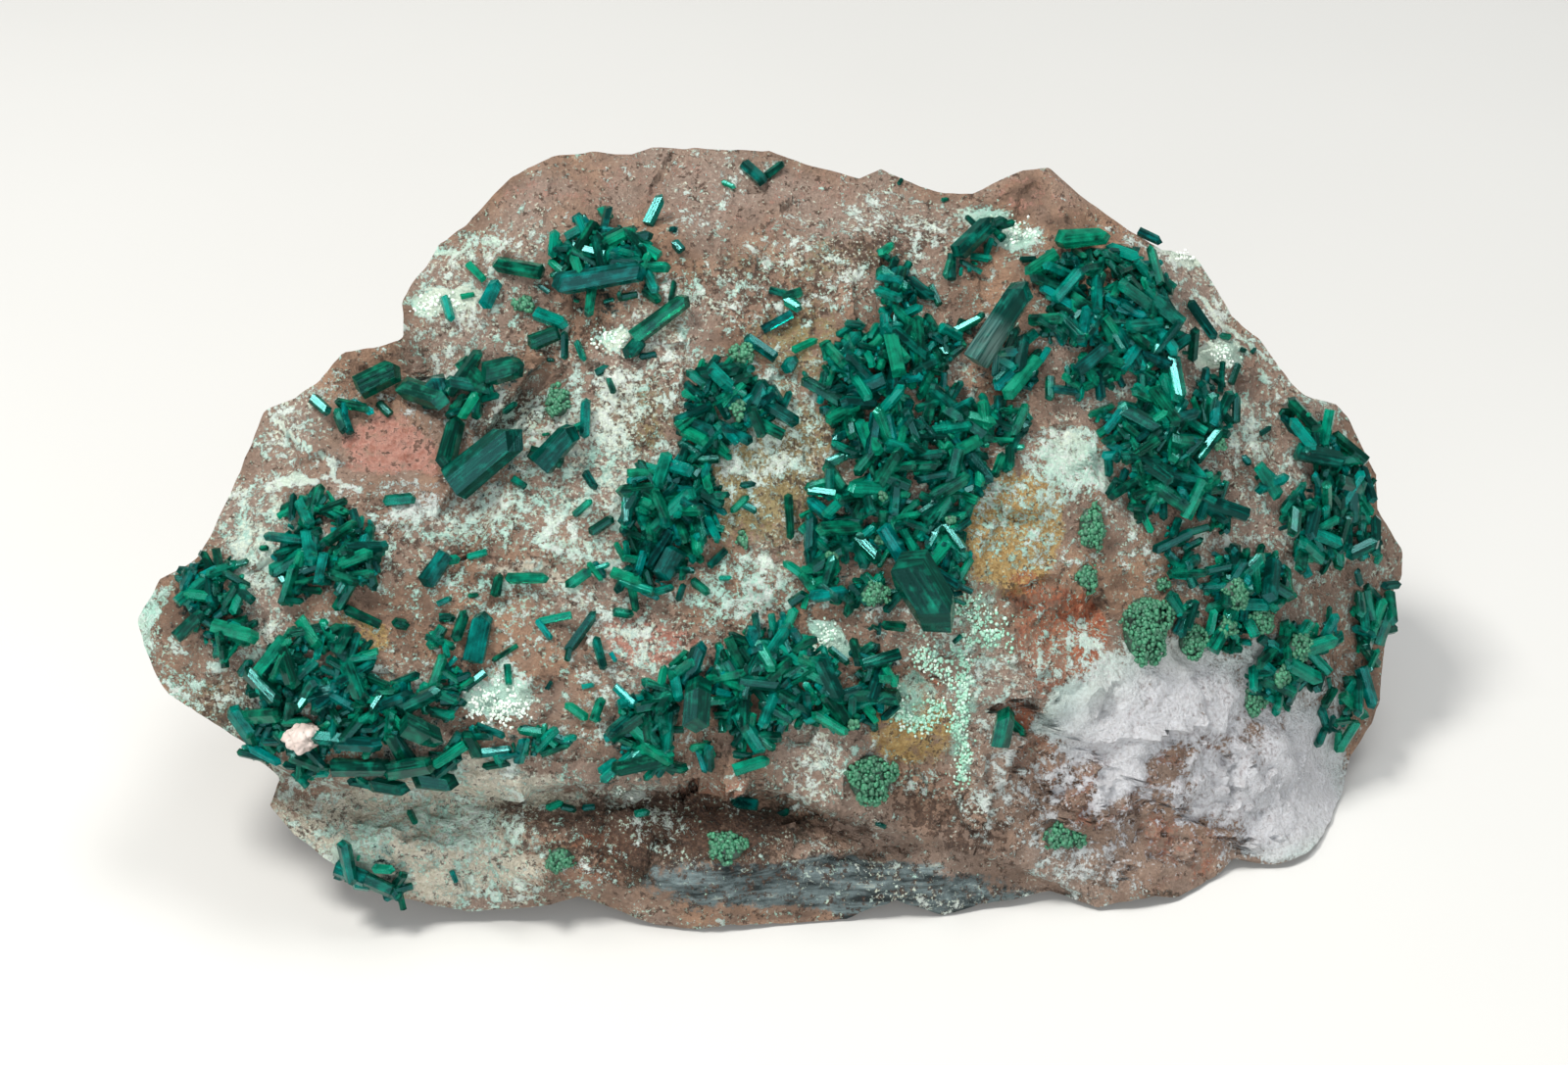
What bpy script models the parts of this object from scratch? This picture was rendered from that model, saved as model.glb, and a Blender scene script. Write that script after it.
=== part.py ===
"""A dioptase specimen: green prisms and malachite mounds on a broken block of pinkish brown rock.

The block lies on its flat underside with its crystal-bearing face leaning back. That face is described
as it is seen square on: a place on it is given in sight units, right and down from the top left corner
of the sight, and its depth is a height in millimetres towards the viewer.
"""

from collections import namedtuple
from itertools import product
from math import cos, pi, radians, sin

import bmesh
import bpy
import numpy as np
from mathutils import Vector
from mathutils.bvhtree import BVHTree
from mathutils.geometry import delaunay_2d_cdt

MM = 0.001

# The line of sight square to the face
SIGHT_TILT = radians(36)
SIGHT_DISTANCE = 336 * MM
SIGHT_TARGET = np.array([0.0, 30.0, 30.0]) * MM
SIGHT_FOCAL = 2889.0
SIGHT_CENTRE = np.array([800.0, 543.5])
SIGHT_FORWARD = np.array([0.0, cos(SIGHT_TILT), -sin(SIGHT_TILT)])
SIGHT_RIGHT = np.array([1.0, 0.0, 0.0])
SIGHT_UP = np.array([0.0, sin(SIGHT_TILT), cos(SIGHT_TILT)])
EYE = SIGHT_TARGET - SIGHT_FORWARD * SIGHT_DISTANCE

# Moves the finished block so that its box is centred over the origin
ORIGIN_SHIFT = np.array([-1.38, -27.67, 0.0]) * MM

# The block
ROCK_GRID = (32, 19)
ROCK_MIDDLE = np.array([800.0, 560.0])
BACK_RINGS = 4
BACK_MIDDLE = np.array([4.0, 62.0, 33.0]) * MM
BACK_DEPTH = 55 * MM
BACK_LEAN = 0.06
BACK_ROUNDING = 6 * MM
BACK_HALF_WIDTH = 75 * MM
BACK_TAPER = 0.9
BACK_SMOOTHING = 0.03
BACK_ROUGHNESS = 1.6
CREST_THICKNESS = 9 * MM
BASE_SINK = 7.5 * MM
BASE_FADE = 11 * MM
ROCK_LUMPS = ((17 * MM, 1.3 * MM, 11), (8 * MM, 0.7 * MM, 12), (4.5 * MM, 0.35 * MM, 13))

# What is laid on the block stands this far off it
SEAT_GAP = 0.35 * MM

# The slope of the face is read over this many sight units each way
NORMAL_REACH = 14.0

# Crystals and crusts
CRUST_HEIGHT = 1.1 * MM
CRUST_ROOT = 1.6 * MM
CRUST_STEP = 56.0
CRUST_FALL = 0.45
TIP_SLOPE = 0.42
PRISM_TAPER = 0.94
FILL_SPACING = 96.0
FILL_LENGTH = (42.0, 62.0)
FILL_WIDTH = (15.0, 20.0)
FILL_LEAN = (12.0, 42.0)
MOUND_ROUGHNESS = 0.13

# The outline of the face, clockwise from its left tip, in sight units
RIM = (
    (140, 633), (163, 592), (199, 573), (218, 540), (235, 503), (258, 450), (270, 418), (300, 408),
    (325, 390), (350, 360), (385, 355), (412, 345), (410, 308), (419, 290), (436, 273), (448, 250),
    (476, 229), (502, 201), (522, 180), (563, 160), (604, 155), (645, 157), (665, 150), (706, 151),
    (739, 153), (785, 154), (826, 168), (877, 182), (899, 172), (939, 190), (964, 197), (993, 197),
    (1043, 174), (1070, 172), (1104, 202), (1143, 229), (1186, 256), (1219, 261), (1243, 297),
    (1256, 322), (1284, 345), (1317, 391), (1332, 406), (1363, 412), (1376, 426), (1390, 457),
    (1404, 485), (1404, 519), (1415, 536), (1431, 562), (1430, 590), (1423, 600), (1411, 672),
    (1407, 716), (1399, 739), (1376, 774), (1370, 809), (1358, 830), (1350, 853), (1335, 870),
    (1301, 883), (1259, 876), (1239, 895), (1201, 916), (1178, 914), (1120, 927), (1072, 909),
    (1001, 923), (962, 934), (914, 918), (863, 937), (798, 943), (744, 944), (710, 949), (668, 944),
    (629, 929), (590, 914), (563, 923), (520, 928), (479, 930), (440, 924), (412, 916), (338, 880),
    (299, 851), (275, 823), (286, 794), (262, 775), (250, 758), (227, 743), (206, 731), (171, 707),
    (155, 681),
)

# Heights of the face towards the viewer: right, down, millimetres
FACE_HEIGHTS = (
    (140, 633, 17.0), (163, 592, 17.0), (235, 503, 15.0), (270, 418, 12.0), (350, 360, 11.0),
    (412, 345, 9.0), (448, 250, 9.0), (522, 180, 8.0), (604, 155, 6.0), (683, 151, 5.0), (785, 154, 4.0),
    (882, 175, 3.0), (1000, 190, 2.0), (1070, 172, 1.0), (1127, 223, 1.0), (1219, 261, 0.0),
    (1297, 363, -2.0), (1376, 426, -5.0), (1431, 562, -10.0), (1411, 672, -10.0), (1387, 761, -9.0),
    (1370, 809, -6.5), (1335, 870, 2.4), (1259, 876, 3.6), (1201, 916, 8.2), (1120, 927, 9.4),
    (1001, 923, 9.6), (863, 937, 10.8), (700, 947, 12.0), (590, 914, 12.0), (464, 924, 12.0),
    (338, 880, 14.5), (275, 823, 17.0), (250, 758, 17.5), (171, 707, 17.0),
    (200, 640, 19.5), (260, 600, 19.0), (330, 470, 15.5), (350, 560, 19.0), (420, 650, 20.5),
    (350, 720, 21.5), (460, 780, 20.5), (300, 770, 19.5), (600, 780, 19.0), (760, 785, 18.5),
    (460, 300, 11.5), (560, 220, 11.0), (560, 330, 14.0), (700, 230, 10.5), (700, 360, 15.0),
    (600, 480, 17.0), (600, 640, 19.0), (800, 500, 17.5), (800, 650, 19.0), (900, 250, 8.5),
    (900, 400, 15.0), (950, 560, 16.5), (980, 700, 16.0), (900, 790, 16.5), (1040, 250, 7.5),
    (1050, 380, 12.0), (1100, 500, 13.0), (1100, 640, 13.5), (1060, 770, 13.5), (1150, 300, 7.5),
    (1200, 420, 8.0), (1250, 560, 6.0), (1300, 470, 2.0), (1200, 700, 9.5), (1300, 680, 3.0),
    (1300, 800, 2.5), (1380, 560, -5.0), (1380, 680, -6.5), (1200, 830, 8.5), (1050, 860, 12.0),
    (900, 880, 14.0), (700, 900, 14.5), (560, 880, 15.0), (430, 880, 15.5), (340, 860, 16.0),
    (450, 830, 16.0), (650, 840, 15.0),
)

# How far the fitted face may pass its points by
PLATE_SLACK = 1e-5

# Steps of the face: the line along which it drops, the drop, and how far below or beside the line it
# recovers. The first is the overhanging ledge above the lower lip.
Step = namedtuple("Step", "line drop ramp reach")
LEDGE_LINE = ((236, 752), (330, 798), (470, 800), (600, 793), (720, 797), (816, 814), (890, 836))
LEDGE = Step(LEDGE_LINE, 6.5, 26, 70)
FRACTURE = Step(((467, 486), (496, 440), (528, 397)), 3.0, 20, 70)
LIP_RIDGE = Step(((840, 872), (900, 858), (957, 853), (1018, 875), (1072, 897)), 1.4, 16, 60)
CREASE_LINE = ((406, 340), (424, 368), (440, 404))
CREASE_DEPTH = 2.0
CREASE_WIDTH = 11.0

# Crystals: right, down, length, width in sight units, tilt in the sight and lean off the face in degrees
Crystal = namedtuple("Crystal", "right down length width tilt lean")
Cluster = namedtuple("Cluster", "name outline crystals seed")
CLUSTERS = (
    Cluster(
        "dioptase_upper_left",
        ((562, 248), (592, 234), (664, 240), (666, 262), (662, 300), (625, 312), (565, 306), (556, 272)),
        ((612, 290, 98, 26, 8, 6), (625, 252, 52, 14, 25, 16), (663, 228, 46, 15, 66, 20),
         (582, 252, 44, 14, 80, 20)),
        21,
    ),
    Cluster(
        "dioptase_middle",
        ((714, 376), (735, 366), (757, 374), (790, 405), (798, 425), (772, 436), (745, 446), (735, 464),
         (714, 470), (704, 446), (690, 436), (706, 405)),
        ((735, 390, 48, 17, -50, 24), (765, 412, 50, 16, 30, 20), (722, 440, 42, 15, 70, 26),
         (782, 438, 42, 13, -30, 12)),
        22,
    ),
    Cluster(
        "dioptase_centre_left",
        ((655, 486), (684, 482), (712, 484), (735, 500), (738, 540), (716, 560), (704, 570), (692, 604),
         (660, 608), (612, 576), (640, 556), (636, 520)),
        ((684, 578, 46, 24, 60, 20), (694, 516, 56, 18, 40, 26), (664, 506, 50, 16, -30, 20),
         (722, 508, 44, 13, 2, 14)),
        23,
    ),
    Cluster(
        "dioptase_left",
        ((290, 520), (313, 508), (336, 516), (366, 532), (385, 560), (384, 586), (350, 610), (320, 600),
         (300, 618), (288, 596), (284, 560)),
        ((315, 528, 45, 15, -60, 24), (350, 548, 50, 15, 30, 20), (299, 600, 52, 15, 70, 18),
         (352, 592, 46, 14, -20, 20)),
        24,
    ),
    Cluster(
        "dioptase_left_tip",
        ((188, 592), (206, 575), (240, 572), (272, 612), (268, 642), (245, 656), (232, 672), (214, 652),
         (195, 636)),
        ((212, 592, 44, 14, 20, 20), (250, 608, 46, 14, -40, 20), (232, 648, 44, 14, 60, 18)),
        25,
    ),
    Cluster(
        "dioptase_lower_left",
        ((255, 682), (275, 670), (292, 648), (330, 642), (376, 656), (372, 682), (395, 696), (420, 690),
         (432, 660), (448, 652), (478, 700), (462, 720), (458, 742), (466, 762), (455, 786), (380, 790),
         (330, 788), (300, 778), (264, 766), (252, 740), (264, 720)),
        ((432, 778, 74, 36, 6, 4), (432, 742, 56, 34, -22, 14), (372, 772, 70, 24, 4, 8),
         (318, 706, 48, 16, 50, 24),
         (290, 680, 46, 15, 60, 22), (448, 690, 50, 15, 70, 20)),
        26,
    ),
    Cluster(
        "dioptase_ledge",
        ((478, 748), (502, 740), (572, 744), (568, 762), (545, 770), (500, 774)),
        ((556, 752, 42, 14, 50, 18), (505, 762, 40, 12, 10, 10), (500, 744, 38, 11, -20, 14)),
        27,
    ),
    Cluster(
        "dioptase_lower_middle",
        ((600, 728), (640, 708), (690, 690), (702, 675), (735, 668), (770, 642), (800, 630), (812, 652),
         (850, 666), (880, 668), (905, 678), (914, 690), (895, 702), (890, 732), (870, 740), (845, 742),
         (820, 728), (800, 735), (785, 750), (768, 768), (700, 772), (688, 786), (650, 783), (625, 787),
         (610, 770)),
        ((713, 716, 64, 34, 84, 10), (640, 738, 56, 16, 40, 22), (668, 762, 52, 16, -30, 18),
         (767, 776, 44, 16, 20, 8),
         (780, 668, 50, 15, -60, 24), (862, 706, 52, 17, 20, 20), (742, 690, 50, 16, 10, 24)),
        28,
    ),
    Cluster(
        "dioptase_centre",
        ((850, 368), (892, 342), (905, 312), (898, 286), (916, 274), (940, 290), (932, 322), (962, 346),
         (1008, 322), (1036, 346), (1052, 372), (1050, 395), (1034, 415), (1042, 440), (1028, 470),
         (1000, 492), (980, 540), (984, 582), (968, 640), (952, 656), (922, 640), (905, 626), (894, 646),
         (870, 620), (812, 594), (808, 574), (832, 558), (826, 500), (868, 470), (848, 450), (850, 425),
         (832, 400)),
        ((938, 604, 96, 50, -60, 12), (1012, 342, 94, 34, 57, 8), (912, 300, 52, 14, 70, 18),
         (846, 484, 40, 15, -58, 16),
         (826, 548, 46, 17, 88, 14), (965, 500, 56, 18, 30, 24), (880, 560, 54, 17, -50, 26),
         (905, 480, 56, 17, 60, 26),
         (990, 430, 54, 17, -20, 24), (880, 400, 54, 16, 20, 24)),
        29,
    ),
    Cluster(
        "dioptase_upper_right",
        ((1060, 284), (1076, 262), (1130, 250), (1160, 260), (1186, 298), (1184, 322), (1205, 350),
         (1206, 378),
         (1256, 410), (1252, 430), (1226, 462), (1244, 500), (1238, 540), (1215, 556), (1180, 552),
         (1150, 520),
         (1126, 470), (1130, 440), (1102, 405), (1078, 396), (1074, 345), (1062, 316)),
        ((1098, 254, 60, 22, 12, 12), (1140, 268, 48, 16, -50, 22), (1085, 300, 54, 16, 50, 26),
         (1110, 370, 54, 18, 40, 26),
         (1180, 350, 50, 16, -70, 22), (1195, 430, 52, 17, 20, 24), (1170, 480, 52, 16, -40, 24),
         (1210, 510, 50, 17, 70, 22),
         (1240, 420, 46, 15, 60, 16)),
        30,
    ),
    Cluster(
        "dioptase_lower_right",
        ((1226, 592), (1245, 568), (1290, 566), (1318, 618), (1344, 622), (1358, 642), (1344, 688),
         (1320, 704),
         (1302, 700), (1300, 684), (1266, 678), (1244, 642), (1226, 624)),
        ((1250, 590, 48, 16, 60, 22), (1342, 646, 52, 15, 60, 16), (1290, 600, 50, 16, -30, 24),
         (1316, 690, 44, 14, 30, 16)),
        31,
    ),
    Cluster(
        "dioptase_right",
        ((1314, 424), (1336, 430), (1352, 430), (1360, 456), (1384, 474), (1388, 524), (1374, 536),
         (1396, 550),
         (1398, 568), (1380, 580), (1340, 570), (1312, 572), (1318, 548), (1300, 536), (1306, 510),
         (1280, 500), (1302, 480)),
        ((1320, 446, 46, 15, -60, 18), (1346, 440, 44, 13, 80, 16), (1368, 500, 50, 15, 60, 20),
         (1290, 494, 46, 14, 20, 14),
         (1340, 548, 50, 16, -20, 22)),
        32,
    ),
    Cluster(
        "dioptase_right_edge",
        ((1386, 594), (1404, 604), (1408, 634), (1404, 682), (1402, 712), (1392, 742), (1376, 768),
         (1360, 760),
         (1350, 740), (1370, 728), (1366, 700), (1372, 680), (1384, 650), (1376, 622)),
        ((1394, 630, 50, 15, 80, 14), (1384, 700, 50, 15, -70, 16), (1366, 750, 44, 14, 50, 12)),
        33,
    ),
    Cluster(
        "dioptase_crest_right",
        ((972, 268), (990, 232), (1018, 228), (1024, 246), (1000, 262), (988, 284)),
        ((993, 252, 62, 20, 50, 10), (1012, 238, 36, 14, 20, 14)),
        34,
    ),
    Cluster(
        "dioptase_left_rim",
        ((324, 412), (352, 404), (370, 386), (396, 379), (400, 396), (380, 412), (362, 424), (350, 436),
         (332, 424)),
        ((380, 396, 46, 24, 31, 10), (345, 432, 36, 12, -60, 12), (333, 414, 36, 12, -40, 10)),
        35,
    ),
    Cluster(
        "dioptase_fracture_block",
        ((414, 405), (432, 397), (458, 392), (480, 375), (512, 371), (543, 379), (538, 394), (506, 402),
         (490, 420),
         (452, 430), (424, 422)),
        ((435, 412, 60, 28, -36, 8), (488, 386, 54, 18, -45, 14), (522, 382, 52, 26, 10, 12),
         (490, 416, 30, 14, 88, 12)),
        36,
    ),
    Cluster(
        "dioptase_fracture_blades",
        ((476, 502), (494, 474), (522, 450), (550, 452), (564, 436), (594, 440), (590, 468), (566, 482),
         (540, 488),
         (516, 500), (488, 508)),
        ((513, 478, 88, 40, 30, 6), (573, 458, 56, 30, 45, 14), (560, 470, 44, 16, -20, 12),
         (597, 428, 42, 13, 86, 10)),
        37,
    ),
    Cluster(
        "dioptase_underside_left",
        ((338, 872), (366, 862), (402, 876), (424, 896), (410, 912), (384, 902), (354, 890)),
        ((370, 884, 60, 22, -20, 12), (400, 898, 36, 18, -70, 16)),
        38,
    ),
)

# Crystals that stand alone on the rock
LONE_CRYSTALS = (
    Crystal(769, 182, 36, 13, -59, 16), Crystal(530, 276, 57, 18, -15, 8), Crystal(489, 281, 32, 11, -45, 10),
    Crystal(503, 303, 34, 18, 60, 12), Crystal(562, 328, 42, 16, -20, 8), Crystal(556, 350, 36, 18, 18, 10),
    Crystal(674, 327, 74, 21, 37, 8), Crystal(456, 463, 46, 22, 78, 8),
    Crystal(408, 512, 36, 13, 5, 6), Crystal(450, 583, 44, 20, 55, 10), Crystal(538, 591, 48, 11, 0, 6),
    Crystal(489, 652, 58, 25, 78, 10), Crystal(370, 631, 44, 11, -25, 8), Crystal(593, 646, 54, 15, 55, 10),
    Crystal(570, 632, 40, 11, 12, 8), Crystal(793, 331, 40, 12, 28, 14), Crystal(777, 357, 42, 14, -40, 12),
    Crystal(805, 528, 50, 12, -87, 8), Crystal(1223, 330, 48, 12, -60, 10),
    Crystal(1246, 373, 34, 13, 75, 12),
    Crystal(1172, 246, 30, 11, -38, 12),
)

# Malachite mounds: name, right, down, width, height in sight units
Mound = namedtuple("Mound", "name right down width height")
MOUNDS = (
    Mound("malachite_disc", 888, 794, 50, 54),
    Mound("malachite_lip_middle", 741, 864, 42, 34),
    Mound("malachite_lip_left", 571, 876, 30, 27),
    Mound("malachite_lip_right", 1085, 853, 48, 28),
    Mound("malachite_band_upper", 1113, 539, 28, 48),
    Mound("malachite_band_lower", 1108, 590, 25, 32),
    Mound("malachite_patch_left", 1168, 642, 54, 70),
    Mound("malachite_patch_right", 1216, 654, 32, 36),
    Mound("malachite_drop", 1278, 712, 30, 38),
    Mound("malachite_fracture", 571, 411, 28, 34),
    Mound("malachite_upper_left", 534, 311, 24, 17),
)


def noise(places, size, seed):
    """Smooth noise from -1 to 1: random heights on a cubic lattice, joined by soft curves."""
    lattice = np.random.default_rng(seed).uniform(-1, 1, (32, 32, 32))
    cell = np.asarray(places) / size
    low = np.floor(cell).astype(int)
    part = cell - low
    part = part * part * (3 - 2 * part)
    total = np.zeros(cell.shape[:-1])
    for corner in product((0, 1), repeat=3):
        index = (low + corner) % 32
        weight = np.prod(np.where(corner, part, 1 - part), axis=-1)
        total += weight * lattice[index[..., 0], index[..., 1], index[..., 2]]
    return total


def soft_step(value):
    """Rises smoothly from 0 to 1 while value does."""
    value = np.clip(value, 0, 1)
    return value * value * (3 - 2 * value)


def spread(distance):
    """The thin plate's kernel: the squared distance times its logarithm."""
    return distance**2 * np.log(distance + 1e-9)


def fit_plate(controls):
    """Fits a thin plate through points of the face, and returns the function of its height."""
    controls = np.array(controls)
    knots = controls[:, :2] / 1000
    count = len(knots)
    flat = np.column_stack([np.ones(count), knots])
    system = np.zeros((count + 3, count + 3))
    distance = np.linalg.norm(knots[:, None] - knots[None], axis=2)
    system[:count, :count] = spread(distance) + np.eye(count) * PLATE_SLACK
    system[:count, count:] = flat
    system[count:, :count] = flat.T
    weights = np.linalg.solve(system, np.append(controls[:, 2], [0, 0, 0]))

    def height(sights):
        """The plate's height at each sight, in millimetres."""
        places = np.asarray(sights) / 1000
        reach = np.linalg.norm(places[..., None, :] - knots, axis=-1)
        level = weights[count] + places @ weights[count + 1:]
        return spread(reach) @ weights[:count] + level

    return height


PLATE = fit_plate(FACE_HEIGHTS)


def beside(sights, line):
    """How far each sight lies to the right hand side of a line, and how far beyond its ends."""
    line = np.array(line, dtype=float)
    best = np.full(sights.shape[:-1], np.inf)
    side = np.zeros(sights.shape[:-1])
    for start, end in zip(line[:-1], line[1:]):
        along = end - start
        length = np.linalg.norm(along)
        share = np.clip(((sights - start) @ along) / length**2, 0, 1)
        away = sights - (start + share[..., None] * along)
        distance = np.linalg.norm(away, axis=-1)
        turn = (along[0] * away[..., 1] - along[1] * away[..., 0]) / length
        nearer = distance < best
        best = np.where(nearer, distance, best)
        side = np.where(nearer, turn, side)
    return side, np.sqrt(np.maximum(best**2 - side**2, 0))


def step_height(sights, step):
    """The height that a step takes from the face: a quick drop past its line and a slow recovery."""
    side, past_end = beside(sights, step.line)
    drop = soft_step(side / step.ramp) * soft_step(1 - side / step.reach)
    return -step.drop * drop * soft_step(1 - past_end / step.reach)


def face_height(sights):
    """The face's height in metres at each sight."""
    sights = np.asarray(sights, dtype=float)
    height = PLATE(sights)
    for step in (LEDGE, FRACTURE, LIP_RIDGE):
        height = height + step_height(sights, step)
    side, past_end = beside(sights, CREASE_LINE)
    height = height - CREASE_DEPTH * np.exp(-(side**2 + past_end**2) / CREASE_WIDTH**2)
    return height * MM


def place(sights, height):
    """The point in space that is seen at each sight and stands at that height."""
    sights = np.asarray(sights, dtype=float)
    reach = SIGHT_DISTANCE - np.asarray(height)
    aside = (sights[..., 0] - SIGHT_CENTRE[0]) / SIGHT_FOCAL
    above = (SIGHT_CENTRE[1] - sights[..., 1]) / SIGHT_FOCAL
    ray = SIGHT_FORWARD + aside[..., None] * SIGHT_RIGHT + above[..., None] * SIGHT_UP
    return EYE + ray * reach[..., None] + ORIGIN_SHIFT


def face_frame(sight):
    """The face's outward normal at a sight, from its slope nearby, and metres per sight unit."""
    reach = NORMAL_REACH
    across = np.array([(sight[0] - reach, sight[1]), (sight[0] + reach, sight[1])])
    down = np.array([(sight[0], sight[1] - reach), (sight[0], sight[1] + reach)])
    left, right = place(across, face_height(across))
    top, bottom = place(down, face_height(down))
    normal = np.cross(right - left, top - bottom)
    scale = (SIGHT_DISTANCE - float(face_height(sight))) / SIGHT_FOCAL
    return normal / np.linalg.norm(normal), scale


def square_to_disc(across, down):
    """Maps the square from -1 to 1 onto the unit disc, keeping its cells even."""
    wide = np.abs(across) >= np.abs(down)
    radius = np.where(wide, across, down)
    other = np.where(wide, down, across)
    turn = (pi / 4) * other / np.where(radius == 0, 1, radius)
    right = np.where(wide, radius * np.cos(turn), radius * np.sin(turn))
    below = np.where(wide, radius * np.sin(turn), radius * np.cos(turn))
    return np.arctan2(below, right), np.hypot(right, below)


def rim_radius(angle):
    """The outline's distance from the face's middle at each angle, in sight units."""
    offsets = np.array(RIM, dtype=float) - ROCK_MIDDLE
    corners = np.arctan2(offsets[:, 1], offsets[:, 0])
    order = np.argsort(corners)
    corners = corners[order]
    points = offsets[order]
    angle = (np.asarray(angle) + pi) % (2 * pi) - pi
    after = np.searchsorted(corners, angle) % len(corners)
    start = points[after - 1]
    end = points[after]
    ray = np.stack([np.cos(angle), np.sin(angle)], axis=-1)
    edge = end - start
    top = start[..., 0] * edge[..., 1] - start[..., 1] * edge[..., 0]
    return top / (ray[..., 0] * edge[..., 1] - ray[..., 1] * edge[..., 0])


def smoothed_ring(ring, share):
    """A closed ring of points, each averaged over this share of the ring to either side."""
    reach = max(1, round(share * len(ring)))
    return np.mean([np.roll(ring, offset, axis=0) for offset in range(-reach, reach + 1)], axis=0)


def rock_surface(columns, rows, rings):
    """The block's points and quads: a face grid cut to the outline, and rings that close its back."""
    across, down = np.meshgrid(np.linspace(-1, 1, columns + 1), np.linspace(-1, 1, rows + 1))
    angle, share = square_to_disc(across, down)
    outward = np.stack([np.cos(angle), np.sin(angle)], axis=-1)
    sights = ROCK_MIDDLE + (share * rim_radius(angle))[..., None] * outward
    face = place(sights, face_height(sights)).reshape(-1, 3)
    index = np.arange(len(face)).reshape(rows + 1, columns + 1)
    cells = np.stack([index[:-1, :-1], index[1:, :-1], index[1:, 1:], index[:-1, 1:]], axis=-1)
    quads = [cells.reshape(-1, 4)]
    rim = np.concatenate([index[0, :-1], index[:-1, -1], index[-1, :0:-1], index[:0:-1, 0]])
    front = face[rim] - ORIGIN_SHIFT
    corner = smoothed_ring(front, BACK_SMOOTHING)
    corner[:, 0] *= BACK_TAPER
    back = BACK_DEPTH + BACK_LEAN * corner[:, 0] - BACK_ROUNDING * (corner[:, 0] / BACK_HALF_WIDTH) ** 2
    corner[:, 1] = np.maximum(back, corner[:, 1] + CREST_THICKNESS)
    corner[:, 2] = corner[:, 2] * BACK_TAPER - BASE_SINK * np.exp(-((corner[:, 2] / BASE_FADE) ** 2))
    points = [face]
    ring = rim
    total = len(face)
    for number in range(1, rings):
        share = number / rings
        path = front + (corner - front) * soft_step(share / 0.65)
        path = path + (BACK_MIDDLE - corner) * soft_step((share - 0.35) / 0.65)
        points.append(path + ORIGIN_SHIFT)
        inner = np.arange(total, total + len(rim))
        quads.append(np.stack([ring, np.roll(ring, -1), np.roll(inner, -1), inner], axis=-1))
        total += len(rim)
        ring = inner
    points.append((BACK_MIDDLE + ORIGIN_SHIFT)[None])
    fan = [(int(start), int(end), total) for start, end in zip(ring, np.roll(ring, -1))]
    return np.concatenate(points), [tuple(map(int, quad)) for quad in np.concatenate(quads)] + fan


def new_object(name, points, faces, material=None):
    """Makes a mesh object from points and faces, in metres."""
    mesh = bpy.data.meshes.new(name)
    mesh.from_pydata([tuple(map(float, point)) for point in points], [], faces)
    mesh.update()
    made = bpy.data.objects.new(name, mesh)
    bpy.context.scene.collection.objects.link(made)
    if material:
        mesh.materials.append(material)
    return made


def vertex_normals(mesh):
    """The mesh's vertex normals as an array."""
    normals = np.empty(len(mesh.vertices) * 3)
    mesh.vertex_normals.foreach_get("vector", normals)
    return normals.reshape(-1, 3)


def vertex_places(mesh):
    """The mesh's vertex places as an array."""
    places = np.empty(len(mesh.vertices) * 3)
    mesh.vertices.foreach_get("co", places)
    return places.reshape(-1, 3)


def shift_along_normals(made, amounts):
    """Moves every vertex of an object along its normal by its amount."""
    places = vertex_places(made.data) + vertex_normals(made.data) * np.asarray(amounts).reshape(-1, 1)
    made.data.vertices.foreach_set("co", places.ravel())
    made.data.update()


def split_quads(made):
    """Splits every quad along its shorter diagonal, so that each facet is flat."""
    shape = bmesh.new()
    shape.from_mesh(made.data)
    bmesh.ops.triangulate(shape, faces=shape.faces[:], quad_method="SHORT_EDGE")
    shape.to_mesh(made.data)
    shape.free()


def cut_flat(made, height):
    """Cuts an object off flat below a height and closes it there with one flat face."""
    shape = bmesh.new()
    shape.from_mesh(made.data)
    everything = shape.verts[:] + shape.edges[:] + shape.faces[:]
    level = (0, 0, height)
    bmesh.ops.bisect_plane(shape, geom=everything, plane_co=level, plane_no=(0, 0, 1), clear_inner=True)
    open_edges = [edge for edge in shape.edges if edge.is_boundary]
    bmesh.ops.contextual_create(shape, geom=open_edges)
    bmesh.ops.recalc_face_normals(shape, faces=shape.faces[:])
    shape.to_mesh(made.data)
    shape.free()


def make_matrix(material):
    """The block of rock: its lumpy surface, cut off flat where it rests."""
    points, faces = rock_surface(*ROCK_GRID, BACK_RINGS)
    rock = new_object("matrix", points, faces, material)
    places = vertex_places(rock.data)
    lumps = sum(noise(places - ORIGIN_SHIFT, size, seed) * height for size, height, seed in ROCK_LUMPS)
    away = np.clip(vertex_normals(rock.data) @ SIGHT_FORWARD, 0, 1)
    shift_along_normals(rock, lumps * (1 + BACK_ROUGHNESS * away))
    split_quads(rock)
    facets = [tuple(face.vertices) for face in rock.data.polygons]
    clearance = new_object("matrix_clearance", vertex_places(rock.data), facets)
    shift_along_normals(clearance, SEAT_GAP)
    as_guide(clearance)
    cut_flat(rock, 0.0)
    return rock, clearance


def as_guide(made):
    """Marks an object as a cutter or guide."""
    made.hide_render = True
    made.display_type = "WIRE"


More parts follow.
